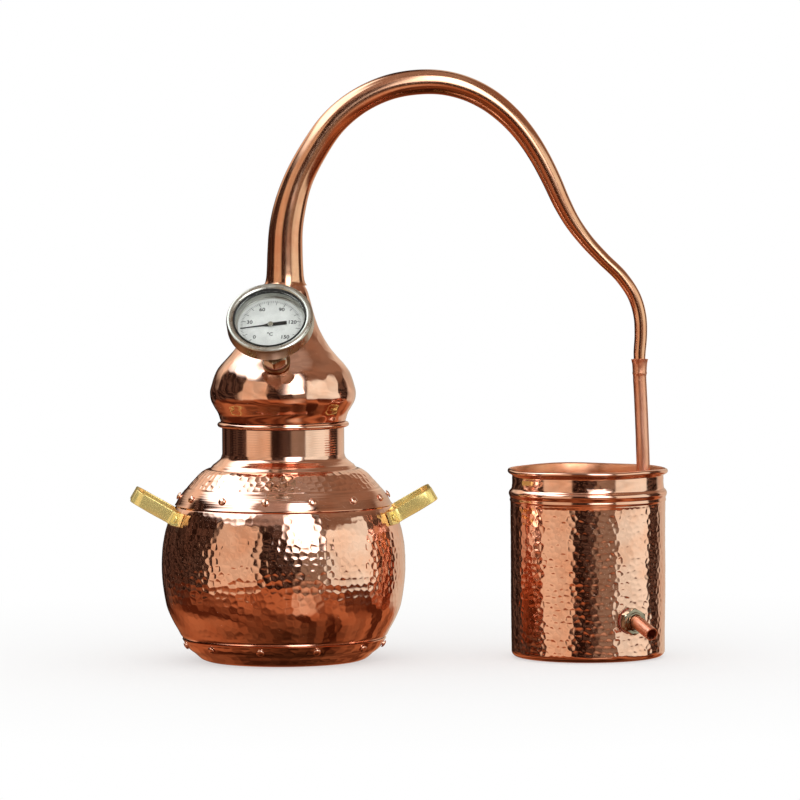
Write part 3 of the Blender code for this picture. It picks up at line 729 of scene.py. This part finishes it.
def make_rivets():
    rng = np.random.default_rng(41)
    plan = (("shoulder", SHOULDER, SHOULDER_RIVETS, SHOULDER_RIVET_AZ, SHOULDER_RIVET_Z),
            ("base", PAN, BASE_RIVETS, BASE_RIVET_AZ, BASE_RIVET_Z))
    source = rivet_mesh("rivet_pattern", 2.75, 1.5, SHEET + LAP, 1.2, COPPER)
    for word, line, count, first_az, z in plan:
        r, up = radius_at(line, z)
        for i in range(count):
            az = first_az + i * 360.0 / count
            flat = az_vec(az)
            at = frame_at(flat * r + Vector((0, 0, z)), az_vec(az, up))
            ob = rivet_copy(source, "%s_rivet_head_%02d" % (word, i + 1), at, rng.uniform(0, 6))
            stand_for(ob, "copper", "%s_rivet_%02d" % (word, i + 1))
    bpy.data.objects.remove(source, do_unlink=True)


def make_handle(name, node, side, first_rivet, source):
    """U-shaped strap with rounded edges; side is +1 towards the condenser or -1."""
    tilt, lean = radians(HANDLE_TILT), radians(BELLY_LEAN)
    w_leg = np.array((-sin(tilt) * side, 0, cos(tilt)))
    half = HANDLE_T / 2
    belly_r = radius_at(BELLY, HANDLE_Z)[0]

    def on_belly(phi, lift):
        p = radians(phi)
        flat = np.array((cos(p) * side, sin(p), 0))
        up = np.array((0, 0, 1.0))
        normal = flat * cos(lean) + up * sin(lean)
        along = up * cos(lean) - flat * sin(lean)
        return flat * belly_r + up * HANDLE_Z + normal * lift, normal, along

    stations = [np.concatenate(on_belly(phi, GAP + half)[::2])
                for phi in (26.4, 24.0, 21.0, 19.0)]
    w_foot = stations[-1][3:]
    base_x = stations[-1][0] * side

    def leg(x, y, blend):
        z = HANDLE_Z + 0.45 + (x - base_x) * tan(tilt)
        return np.concatenate([(x * side, y, z), w_foot * (1 - blend) + w_leg * blend])

    stations.append(leg(base_x + 1.5, HANDLE_HALF + 1.0, 0.4))
    stations.append(leg(base_x + 3.2, HANDLE_HALF + 0.1, 0.8))
    stations.append(leg(base_x + 6.0, HANDLE_HALF, 1.0))
    end_x = HANDLE_REACH - half
    c = HANDLE_CORNER
    for k in range(6):
        a = radians(90 * k / 5)
        stations.append(leg(end_x - c + c * sin(a), HANDLE_HALF - c + c * cos(a), 1.0))
    stations.append(leg(end_x, 8.0, 1.0))
    mirror = [s * np.array((1, -1, 1, 1, -1, 1)) for s in stations[::-1]]
    line = spline(stations + mirror, 0.8)
    path, width = line[:, :3], line[:, 3:]
    tangent = tangents(path)
    width = width - tangent * np.einsum("ij,ij->i", width, tangent)[:, None]
    width /= np.linalg.norm(width, axis=1)[:, None]
    thick = np.cross(tangent, width)
    section = strap_section(HANDLE_W / 2, half, 0.55)
    at = arc_lengths(path)
    wave = 1 + 0.012 * np.sin(at / 7.0) + 0.008 * np.sin(at / 3.1 + 1)
    rings = (path[:, None] + width[:, None] * section[None, :, :1] * wave[:, None, None]
             + thick[:, None] * section[None, :, 1:])
    ob = loft(name, rings, BRASS, None, False, (path[0], path[-1]), 32.0)
    stand_for(ob, "brass", node)
    for k, phi in enumerate((HANDLE_FOOT_AZ, -HANDLE_FOOT_AZ)):
        p, normal, _ = on_belly(phi, HANDLE_T + GAP)
        number = first_rivet + k
        rivet = rivet_copy(source, "handle_rivet_head_%d" % number, frame_at(p, normal), k + 0.3)
        stand_for(rivet, "brass", "handle_rivet_%d" % number)


def strap_section(a, b, radius):
    """Rectangle of half sizes a and b with rounded corners, as (x, y) points."""
    out = []
    for cx, cy, start in ((a, b, 0), (-a, b, 90), (-a, -b, 180), (a, -b, 270)):
        for k in range(5):
            q = radians(start + 90 * k / 4)
            out.append((cx - radius * np.sign(cx) + radius * cos(q),
                        cy - radius * np.sign(cy) + radius * sin(q)))
    return np.array(out)


def make_handles():
    source = rivet_mesh("handle_rivet_pattern", 2.6, 1.3, HANDLE_T + LAP, 1.3, BRASS)
    make_handle("handle_strap_left", "handle_left", -1, 1, source)
    make_handle("handle_strap_right", "handle_right", 1, 3, source)
    bpy.data.objects.remove(source, do_unlink=True)


# ---------------------------------------------------------------------- hood
def dome_centre(z):
    return 2.0 * smooth(z, 216.0, 256.0)


def make_hood():
    line = spline(SKIRT, 0.35)
    inner = spline([(40.3, 148.0), (40.3, 163.3), (40.3, 163.3), (42.0, 164.7), (44.6, 164.8),
                    (45.1, 165.5), (44.3, 166.3), (41.9, 166.9), (41.9, 169.6),
                    (42.4, 172.0)], 2.5)
    ob = shell("skirt_swaged", line, inner, 384, COPPER,
               lambda theta, s, r, z: ripple(theta, z, 0.1, 13) * smooth(z, 163.6, 164.6))
    stand_for(ob, "copper", "hood_skirt")

    line = spline(DOME, 0.8)

    def dent(theta, s, r, z):
        marks = hammer(theta, s, r, 9.0, seed=51, slope=2.2, ridge=0.01, jitter=0.3)
        worked = smooth(z, 173.0, 178.0) * smooth(-z, -258.0, -240.0)
        free = smooth(z, 169.0, 174.0) * smooth(-z, -266.0, -250.0)
        return marks * worked + ripple(theta, z, 0.5, 9) * free

    ob = shell("onion_planished", line, inside_of(line, 0.9, 20), 480, COPPER, dent, dome_centre)
    stand_for(ob, "copper", "hood_dome")


def make_neck():
    line = spline([(x, 0.0, z, r) for x, z, r in NECK], 1.6)

    def dent(s, angle):
        return 0.05 * (1 + np.sin(s / 9.0 + 2 * np.sin(s / 31.0)) * np.cos(angle + s / 40.0))

    walls = np.where(line[:, 3] > NECK_THIN_R, SHEET, NECK_THIN)
    ob = tube("swan_neck_drawn", line[:, :3], line[:, 3], walls, 64, COPPER_TUBE, dent)
    ob.visible_glossy = False       # the photograph's hood doesn't mirror the neck
    stand_for(ob, "copper", "swan_neck")


# --------------------------------------------------------------- thermometer
T = frame_at(az_vec(THERMO_AZ) * THERMO_R + Vector((0, 0, THERMO_Z)),
             az_vec(THERMO_AZ, THERMO_TILT))
TURN = radians(SCALE_START + READING * DEG_PER_C)
P = T @ Matrix.Rotation(-TURN, 4, 'Z')


def make_thermometer():
    def part(name, slot, node, corners, mat, radius=0.3, columns=128):
        stand_for(turned(name, corners, mat, T, radius, columns), slot, node)

    part("boss_brass", "brass", "thermometer_boss",
         [(8.3, -4.0), (8.3, 0.8), (10.0, 0.8), (10.0, 2.6), (6.6, 2.6), (6.6, -4.0)],
         BRASS_DARK, columns=96)
    part("stem_washer", "fibre", "thermometer_washer",
         [(6.6, 2.9), (8.4, 2.9), (8.4, 4.0), (6.6, 4.0)], FIBRE, 0.2, 96)
    make_stem()
    part("case_pressed", "steel", "thermometer_case",
         [(4.3, 40.0), (27.4, 40.0), (28.0, 40.6), (28.0, 49.9), (27.2, 49.9), (27.2, 42.0),
          (24.5, 42.0), (24.5, 41.0), (4.3, 41.0)], STEEL, 0.35)
    part("bezel_rolled", "steel", "thermometer_bezel",
         [(28.3, 41.8), (29.6, 41.8), (30.0, 42.3), (30.0, 50.4), (29.5, 51.4), (28.3, 52.0),
          (26.3, 51.9), (25.25, 51.2), (25.25, 51.0), (28.3, 51.0)], STEEL, 0.6, 160)
    # the gasket's raised black lip, up inside the bezel's edge, is partly real seal and partly
    # painted shade: it stands in for the dark band the bezel's rim throws on the dial
    part("gasket_ring", "black_rubber", "thermometer_gasket",
         [(24.3, 47.4), (26.9, 47.4), (26.9, 48.4), (26.3, 48.4), (26.3, 50.2), (27.9, 50.2),
          (27.9, 50.7), (24.95, 50.7), (24.95, 51.7), (24.3, 51.7)], RUBBER, 0.15)
    part("dial_glass", "glass", "thermometer_glass",
         [(0, 48.6), (24.1, 48.6), (24.1, 49.9), (0, 49.9)], GLASS, 0.2)
    ob = turned("dial_ring_bright",
                [(22.6, DIAL_TOP + GAP), (26.8, DIAL_TOP + GAP), (26.8, 47.2), (26.2, 47.2),
                 (24.2, 44.1), (22.9, 44.1), (22.6, 43.8)], ALUMINIUM, T, 0.15, 128)
    # faces above 44.3 mm, the cone and wall under the bezel, take the darker steel: painted shade;
    # the flat by the dial keeps the aluminium
    ob.data.materials.append(STEEL_RECESS_SHADE)
    for face in ob.data.polygons:
        face.material_index = int(face.center.z > 44.3 * MM)
    stand_for(ob, "aluminium", "dial_ring")
    # the dial face is white and also glows a little: painted light
    part("dial_face", "dial_white", "dial_plate",
         [(1.2, DIAL_TOP - 0.5), (26.8, DIAL_TOP - 0.5), (26.8, DIAL_TOP), (1.2, DIAL_TOP)],
         DIAL_WHITE_GLOWING, 0.1)


def make_stem():
    """Probe, thread, hexagon and neck in one turned piece."""
    rows = [(2.2, -45.0, 0), (3.0, -44.2, 0), (3.0, -6.0, 0), (5.4, -5.5, 0)]
    for k in range(26):
        z = -4.6 + k * THREAD_PITCH / 4
        rows.append((6.2 - 0.35 * (k % 4 in (1, 2)), z, 0))
    rows += [(6.2, 4.3, 0), (8.2, 4.3, 0), (8.6, 4.32, 1), (9.6, 4.9, 1), (9.9, 5.4, 1),
             (9.9, 10.2, 1), (9.6, 10.7, 1), (8.6, 11.28, 1), (8.2, 11.3, 0), (5.3, 11.3, 0),
             (5.0, 11.6, 0), (5.0, 39.7, 0), (3.9, 39.7, 0), (3.9, 41.3, 0), (5.6, 41.3, 0),
             (5.6, 41.9, 0), (2.3, 41.9, 0), (2.3, -43.5, 0)]
    ob = loft("stem_hexagon", hex_rings(rows, AF_HEX), STEEL_BRIGHT, T, False,
              ((0, 0, -45.0), (0, 0, -43.5)), 30.0)
    stand_for(ob, "steel", "thermometer_stem")


def make_pointer():
    half = [(0.22, 21.0), (0.55, 5.0), (1.3, 2.0), (1.4, -3.0), (1.4, -11.2)]
    outline = np.array(half + [(-x, y) for x, y in half[::-1]])
    inset = outline * 0.93
    low = DIAL_TOP + GAP
    high = low + 0.45
    layers = [(inset, low), (outline, low + 0.06), (outline, high - 0.07), (inset, high)]
    rings = [np.column_stack([xy, np.full(len(xy), z)]) for xy, z in layers]
    ob = loft("needle_blade", np.array(rings), NEEDLE_BLACK, P, False,
              ((0, 0, low), (0, 0, high)), 30.0)
    stand_for(ob, "needle_black", "pointer")
    ob = turned("shaft_cap", [(0, -12.0), (0.6, -12.0), (0.6, high + GAP), (1.9, high + GAP),
                              (1.9, high + 1.0), (0, high + 1.0)], STEEL, P, 0.2, 48)
    stand_for(ob, "steel", "pointer_shaft")


def letters(text, size, at):
    """Points and faces of a printed word on the dial, centred at a point."""
    data = bpy.data.curves.new("word", 'FONT')
    data.body = text
    data.size = size
    data.align_x = 'CENTER'
    data.align_y = 'CENTER'
    data.extrude = PRINT_DEPTH / 2
    data.offset = 0.09
    data.resolution_u = 3
    ob = add_object("word", data)
    graph = bpy.context.evaluated_depsgraph_get()
    mesh = bpy.data.meshes.new_from_object(ob.evaluated_get(graph))
    bpy.data.objects.remove(ob, do_unlink=True)
    move = Matrix.Translation((at[0], at[1], DIAL_TOP + PRINT_DEPTH / 2))
    points = [tuple(move @ v.co) for v in mesh.vertices]
    faces = [tuple(f.vertices) for f in mesh.polygons]
    bpy.data.meshes.remove(mesh)
    return points, faces


def bar(r0, r1, wide, angle):
    """A short radial stroke from radius r0 to r1 at a clockwise angle from the top."""
    a = radians(angle)
    out = np.array((sin(a), cos(a)))
    side = np.array((cos(a), -sin(a))) * wide / 2
    flat = [out * r0 - side, out * r1 - side, out * r1 + side, out * r0 + side]
    points = [(p[0], p[1], z) for z in (DIAL_TOP, DIAL_TOP + PRINT_DEPTH)
              for p in flat]
    faces = [(0, 1, 2, 3), (7, 6, 5, 4), (0, 4, 5, 1), (1, 5, 6, 2), (2, 6, 7, 3), (3, 7, 4, 0)]
    return points, faces


def make_print():
    """Scale of the dial: 0 to 150 degrees C."""
    parts = []
    for value in range(0, 151, 2):
        angle = SCALE_START + value * DEG_PER_C
        start, wide = (17.6, 0.34) if value % 10 == 0 else (19.3, 0.2)
        parts.append(bar(start, 20.9, wide, angle))
    for value in range(0, 151, 30):
        a = radians(SCALE_START + value * DEG_PER_C)
        parts.append(letters(str(value), 4.1, (14.9 * sin(a), 14.9 * cos(a))))
    parts.append(letters("°C", 3.8, (0, -8.0)))
    points, faces = [], []
    for p, f in parts:
        faces += [tuple(i + len(points) for i in face) for face in f]
        points += p
    mesh = bpy.data.meshes.new("dial_scale")
    mesh.from_pydata([Vector(p) * MM for p in points], [], faces)
    mesh.materials.append(PRINT)
    ob = add_object("dial_scale", mesh)
    ob.matrix_world = T
    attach(ob, "thermometer")


# ----------------------------------------------------------------- condenser
BUCKET_COLUMNS = 388
C = Matrix.Translation(Vector((AXIS_DISTANCE, 0, 0)) * MM)
OUT = az_vec(OUTLET_AZ)
O = frame_at(Vector((AXIS_DISTANCE, 0, OUTLET_Z)) + OUT * OUTLET_R, OUT)


def make_bucket():
    line = np.vstack([spline(BUCKET_BASE[:2], 8.0)[:-1], spline(BUCKET_BASE[1:], 1.0)[:-1],
                      spline(BUCKET_WALL, 0.68)[:-1], spline(BUCKET_RIM, 0.6)])

    def dent(theta, s, r, z):
        marks = hammer(theta, s, r, 5.0, seed=61, slope=4.0, ridge=0.07, jitter=0.32)
        few = (smooth(np.sin(3 * theta + 0.6) + np.sin(7 * theta), 0.9, 1.3)
               * smooth(z, 119.5, 121.0) * smooth(-z, -128.5, -126.5))
        worked = smooth(z, 3.0, 6.0) * smooth(-z, -108.6, -107.0)
        turn = (theta - atan2(OUT.y, OUT.x) + pi) % (2 * pi) - pi
        seat = smooth(np.hypot(turn * r, z - OUTLET_Z), 8.0, 12.0)
        return marks * np.maximum(seat * worked, 0.8 * few) + ripple(theta, z, 0.3, 15) * worked

    theta = np.linspace(0, 2 * pi, BUCKET_COLUMNS, endpoint=False)
    outer = revolve(line[1:], theta, dent)
    inner = revolve(spline(BUCKET_INNER, 5.0)[::-1][:-1], theta)
    rings = np.concatenate([outer, inner])
    sway = 0.5 * np.sin(2 * theta + 0.8) + 0.35 * np.sin(5 * theta + 2.0)
    rings[..., 2] -= (0.85 + sway) * 0.7 * smooth(rings[..., 2], 124.0, 130.0)
    ob = loft("bucket_hammered", rings, COPPER, C, False, ((0, 0, 0), (0, 0, SHEET)), 40.0)
    ob.data.materials.append(COPPER_DULL)
    inside = np.zeros(len(ob.data.polygons), np.int32)
    inside[(len(outer) - 1) * BUCKET_COLUMNS:(len(rings) - 1) * BUCKET_COLUMNS] = 1
    inside[-BUCKET_COLUMNS:] = 1
    ob.data.polygons.foreach_set("material_index", inside)
    stand_for(ob, "copper", "bucket")


def coil_path():
    """Centre line and radii of the coil: flared socket, riser, helix and spout."""
    points = [(PLUG_X, 0, z, r, 0.85)
              for z, r in ((SOCKET_TOP, 6.1), (208.6, 5.85), (206.5, 5.4), (203.5, 5.1),
                           (200.6, 5.0), (199.9, 5.17), (199.2, 5.15), (198.4, 4.85),
                           (197.4, COIL_TUBE_R), (196.0, COIL_TUBE_R))]

    def add(x, y, z):
        points.append((x, y, z, COIL_TUBE_R, COIL_TUBE_WALL))

    side = AXIS_DISTANCE + COIL_R
    for x, y, z in ((PLUG_X + 0.3, 0, 190.0), (PLUG_X + 1.9, 0, 150.0), (side, 0, 126.0),
                    (side, -0.4, 117.0), (side - 0.1, -2.6, 110.5)):
        add(x, y, z)
    delta = degrees(asin(OUTLET_BEND / (COIL_R + OUTLET_BEND)))
    end = -90.0 + OUTLET_AZ + delta - 360.0 * COIL_TURNS
    start = -11.0
    steps = 24 * COIL_TURNS
    for k in range(steps + 1):
        f = k / steps
        z = COIL_TOP_Z + 1.2 + (OUTLET_Z - COIL_TOP_Z - 1.2) * f
        if f > 0.95:
            z = max(z, OUTLET_Z)
        a = radians(start + (end - start) * f)
        add(AXIS_DISTANCE + COIL_R * cos(a), COIL_R * sin(a), z)
    a_end = radians(end)
    hub = Vector((AXIS_DISTANCE + (COIL_R + OUTLET_BEND) * cos(a_end),
                  (COIL_R + OUTLET_BEND) * sin(a_end), OUTLET_Z))
    inward = Vector((-cos(a_end), -sin(a_end), 0))
    for k in range(1, 7):
        turn = Matrix.Rotation(radians((90.0 - delta) * k / 6), 3, 'Z')
        add(*(hub + (turn @ inward) * OUTLET_BEND))
    base = Vector((AXIS_DISTANCE, 0, OUTLET_Z))
    add(*(base + OUT * (OUTLET_R + 7.5)))
    drop = radians(SPOUT_DROP)
    slope = OUT * cos(drop) - Vector((0, 0, sin(drop)))
    knee = base + OUT * (OUTLET_R + SPOUT_KNEE)
    add(*(knee + slope * 1.0))
    add(*(knee + slope * 6.0))
    add(*(knee + slope * SPOUT_LENGTH))
    return spline([tuple(float(c) for c in p) for p in points], 2.0)


def make_coil():
    line = coil_path()

    def dent(s, angle):
        return 0.03 * (1 + np.sin(s / 6.0) * np.cos(2 * angle + s / 25.0))

    ob = tube("coil_tube", line[:, :3], line[:, 3], line[:, 4], 28, COPPER_SATIN,
              dent, inner_every=4)
    stand_for(ob, "copper_matte", "coil")


def outlet_nut(name, rows, node):
    ob = loft(name, hex_rings(rows, OUTLET_AF), NICKEL, O, True, sharp=30.0)
    stand_for(ob, "nickel", node)


def make_outlet():
    bore, thread = 5.1, 6.5
    outlet_nut("bush_hexagon",
               [(bore, -8.5, 0), (thread - 0.4, -8.5, 0), (thread, -8.1, 0), (thread, 1.65, 0),
                (8.6, 1.65, 1), (9.5, 2.2, 1), (9.85, 2.8, 1), (9.85, 6.0, 1), (9.5, 6.6, 1),
                (8.6, 7.15, 1), (8.0, 7.2, 0), (6.7, 7.2, 0), (6.4, 7.5, 0), (6.4, 8.0, 0),
                (6.2, 8.2, 0), (5.5, 8.2, 0), (bore, 7.9, 0)], "outlet_bush")
    outlet_nut("locknut_hexagon",
               [(6.8, -7.2, 0), (8.6, -7.2, 1), (9.85, -6.5, 1), (9.85, -4.2, 1),
                (8.6, -3.5, 1), (6.8, -3.5, 0)], "outlet_locknut")
    for name, low, node in (("washer_outside", 0.35, "outlet_washer_outer"),
                            ("washer_inside", -3.2, "outlet_washer_inner")):
        ob = turned(name, [(6.8, low), (8.9, low), (8.9, low + 1.0), (6.8, low + 1.0)],
                    FIBRE, O, 0.2)
        stand_for(ob, "fibre", node)


# -------------------------------------------------------------------- studio
SKY_RADIUS = 3000.0
SKY_CENTRE = (100.0, 0.0, 130.0)
ROOM_DARK = (0.016, 0.007, 0.0045)
ROOM_LIGHT = (0.115, 0.064, 0.044)
TABLE_DARK = (0.085, 0.019, 0.007)
TABLE_LIGHT = (0.46, 0.155, 0.062)
# azimuth from, to (0 is in front, + to +X), elevation from, to, edge softness,
# colour; a later row covers the ones before it
LIGHTS = [
    (124, 176, -16, 50, 8, (0.66, 0.54, 0.42)),  # behind, right
    (-168, -128, 12, 44, 10, (0.80, 0.62, 0.46)),  # behind, left
    (40, 150, 22, 80, 12, (0.26, 0.15, 0.095)),  # high on the right
    (-180, 180, 64, 91, 10, (0.36, 0.26, 0.20)),  # ceiling
    (-60, 0, 40, 62, 14, (0.44, 0.31, 0.25)),  # high, front left
    (-150, -48, 36, 66, 10, (2.4, 2.5, 2.5)),  # softbox, left
    (10, 38, -10, 8, 8, (0.26, 0.18, 0.125)),  # low, front right
    (4, 30, -34, -14, 12, (0.66, 0.39, 0.25)),  # on the floor
    (-75, -27, -14, 33, 3, (0.72, 0.52, 0.36)),  # window, left
    (39, 95, -14, 31, 3, (0.90, 0.89, 0.76)),  # window, right
    (2, 31, 12, 58, 12, (4.4, 4.3, 4.2)),  # softbox, front
]


def blotches(az, el, seed=71, waves=14, fine=1):
    """Random pattern over the room, from 0 to 1; fine times as fine as the slowest."""
    rng = np.random.default_rng(seed)
    out = np.zeros_like(az)
    for k in range(waves):
        turns = rng.integers(2 * fine, 16 * fine)
        rise = fine * rng.uniform(0.05, 0.35)
        out += np.sin(np.radians(turns * az) + rise * el + rng.uniform(0, 6))
    return np.clip(0.5 + 0.5 * out / waves ** 0.5, 0, 1)


def make_studio():
    """A dome that only reflections see: a brown room with windows and softboxes."""
    across, up = 360, 180
    az = np.linspace(-180, 180, across, endpoint=False)
    el = np.linspace(-89.9, 89.9, up)
    el_grid, az_grid = np.meshgrid(el, az, indexing="ij")
    grain = blotches(az_grid, el_grid)[..., None]
    table = np.array(TABLE_DARK) * (1 - grain) + np.array(TABLE_LIGHT) * grain
    below = smooth(-el_grid, 9.0, 17.0)[..., None]
    # the table is painted darker straight below, towards the still's foot: painted shadow of the
    # still, seen only in reflections
    table = table * (0.16 + 0.84 * smooth(el_grid, -78.0, -28.0))[..., None]
    clutter = blotches(az_grid, el_grid, seed=73, waves=24, fine=3)[..., None]
    clutter = np.clip(0.35 * grain + 2.0 * (clutter - 0.44), 0, 1)
    room = np.array(ROOM_DARK) * (1 - clutter) + np.array(ROOM_LIGHT) * clutter
    colour = room * (1 - below) + table * below
    for a0, a1, e0, e1, edge, rgb in LIGHTS:
        half = (a1 - a0) / 2
        off = np.abs((az_grid - (a0 + a1) / 2 + 180) % 360 - 180)
        mask = smooth(half - off, -edge / 2, edge / 2) if half < 180 else 1.0
        mask = mask * smooth(el_grid, e0 - edge / 2, e0 + edge / 2)
        mask = (mask * smooth(-el_grid, -e1 - edge / 2, -e1 + edge / 2))[..., None]
        colour = colour * (1 - mask) + np.array(rgb) * (0.84 + 0.32 * grain) * mask
    a, e = np.radians(az_grid), np.radians(el_grid)
    points = SKY_RADIUS * np.stack([np.cos(e) * np.sin(a), -np.cos(e) * np.cos(a),
                                    np.sin(e)], -1)
    mat, tree, out = bare_material("studio_dome")
    glow = tree.nodes.new("ShaderNodeEmission")
    paint = tree.nodes.new("ShaderNodeAttribute")
    paint.attribute_name = "light"
    tree.links.new(paint.outputs["Color"], glow.inputs["Color"])
    tree.links.new(glow.outputs["Emission"], out.inputs["Surface"])
    mat.cycles.emission_sampling = 'NONE'
    ob = loft("studio_dome", points + np.array(SKY_CENTRE), mat, None, False)
    layer = ob.data.attributes.new("light", 'FLOAT_COLOR', 'POINT')
    rgba = np.concatenate([colour.reshape(-1, 3), np.ones((up * across, 1))], 1)
    layer.data.foreach_set("color", rgba.astype(np.float32).ravel())
    ob.visible_camera = False
    ob.visible_diffuse = False
    ob.visible_transmission = False
    ob.visible_shadow = False


def make_floor():
    """Pale floor that glows white, more so away from the middle: painted light, over a soft
    contact shadow that fades into the white.
    """
    mat, tree, shader = start_material("pale_floor")
    shader.inputs["Base Color"].default_value = (0.93, 0.925, 0.92, 1)
    shader.inputs["Roughness"].default_value = 0.9
    shader.inputs["Specular IOR Level"].default_value = 0.0
    glow = tree.nodes.new("ShaderNodeEmission")
    coords = tree.nodes.new("ShaderNodeTexCoord")
    reach = tree.nodes.new("ShaderNodeVectorMath")
    reach.operation = 'LENGTH'
    tree.links.new(coords.outputs["Object"], reach.inputs[0])
    # the floor's own white glow is 55 % of it near the still and all of it from 0.55 m out:
    # painted light
    fade = spread(tree, reach.outputs["Value"], 0.22, 0.55, 0.55, 1.0)
    mix_into(tree, fade, shader.outputs["BSDF"], glow.outputs["Emission"],
             tree.nodes["Material Output"])
    half = 20000.0
    square = np.array([(-half, -half, 0), (half, -half, 0), (half, half, 0), (-half, half, 0)])
    middle = Matrix.Translation((0.1, 0, -0.0004))
    ob = mesh_piece("floor", square, np.array([(0, 1, 2, 3)]), np.zeros((0, 3), int), mat, middle)
    ob.visible_glossy = False


def make_world():
    world = bpy.data.worlds.new("studio")
    world.use_nodes = True
    world.node_tree.nodes["Background"].inputs["Color"].default_value = (1, 1, 1, 1)
    world.node_tree.nodes["Background"].inputs["Strength"].default_value = 1.0
    world.cycles_visibility.glossy = False
    bpy.context.scene.world = world
    bpy.context.scene.view_settings.view_transform = 'Standard'


# --------------------------------------------------------------------- build
place_camera()
make_belly()
make_base()
make_shoulder()
make_collar()
make_rivets()
make_handles()
make_hood()
make_neck()
make_thermometer()
make_pointer()
make_print()
make_bucket()
make_coil()
make_outlet()
helix = frame["nodes"]["bimetal_helix"]
helix.data.materials.clear()
helix.data.materials.append(BIMETAL)
make_studio()
make_floor()
make_world()
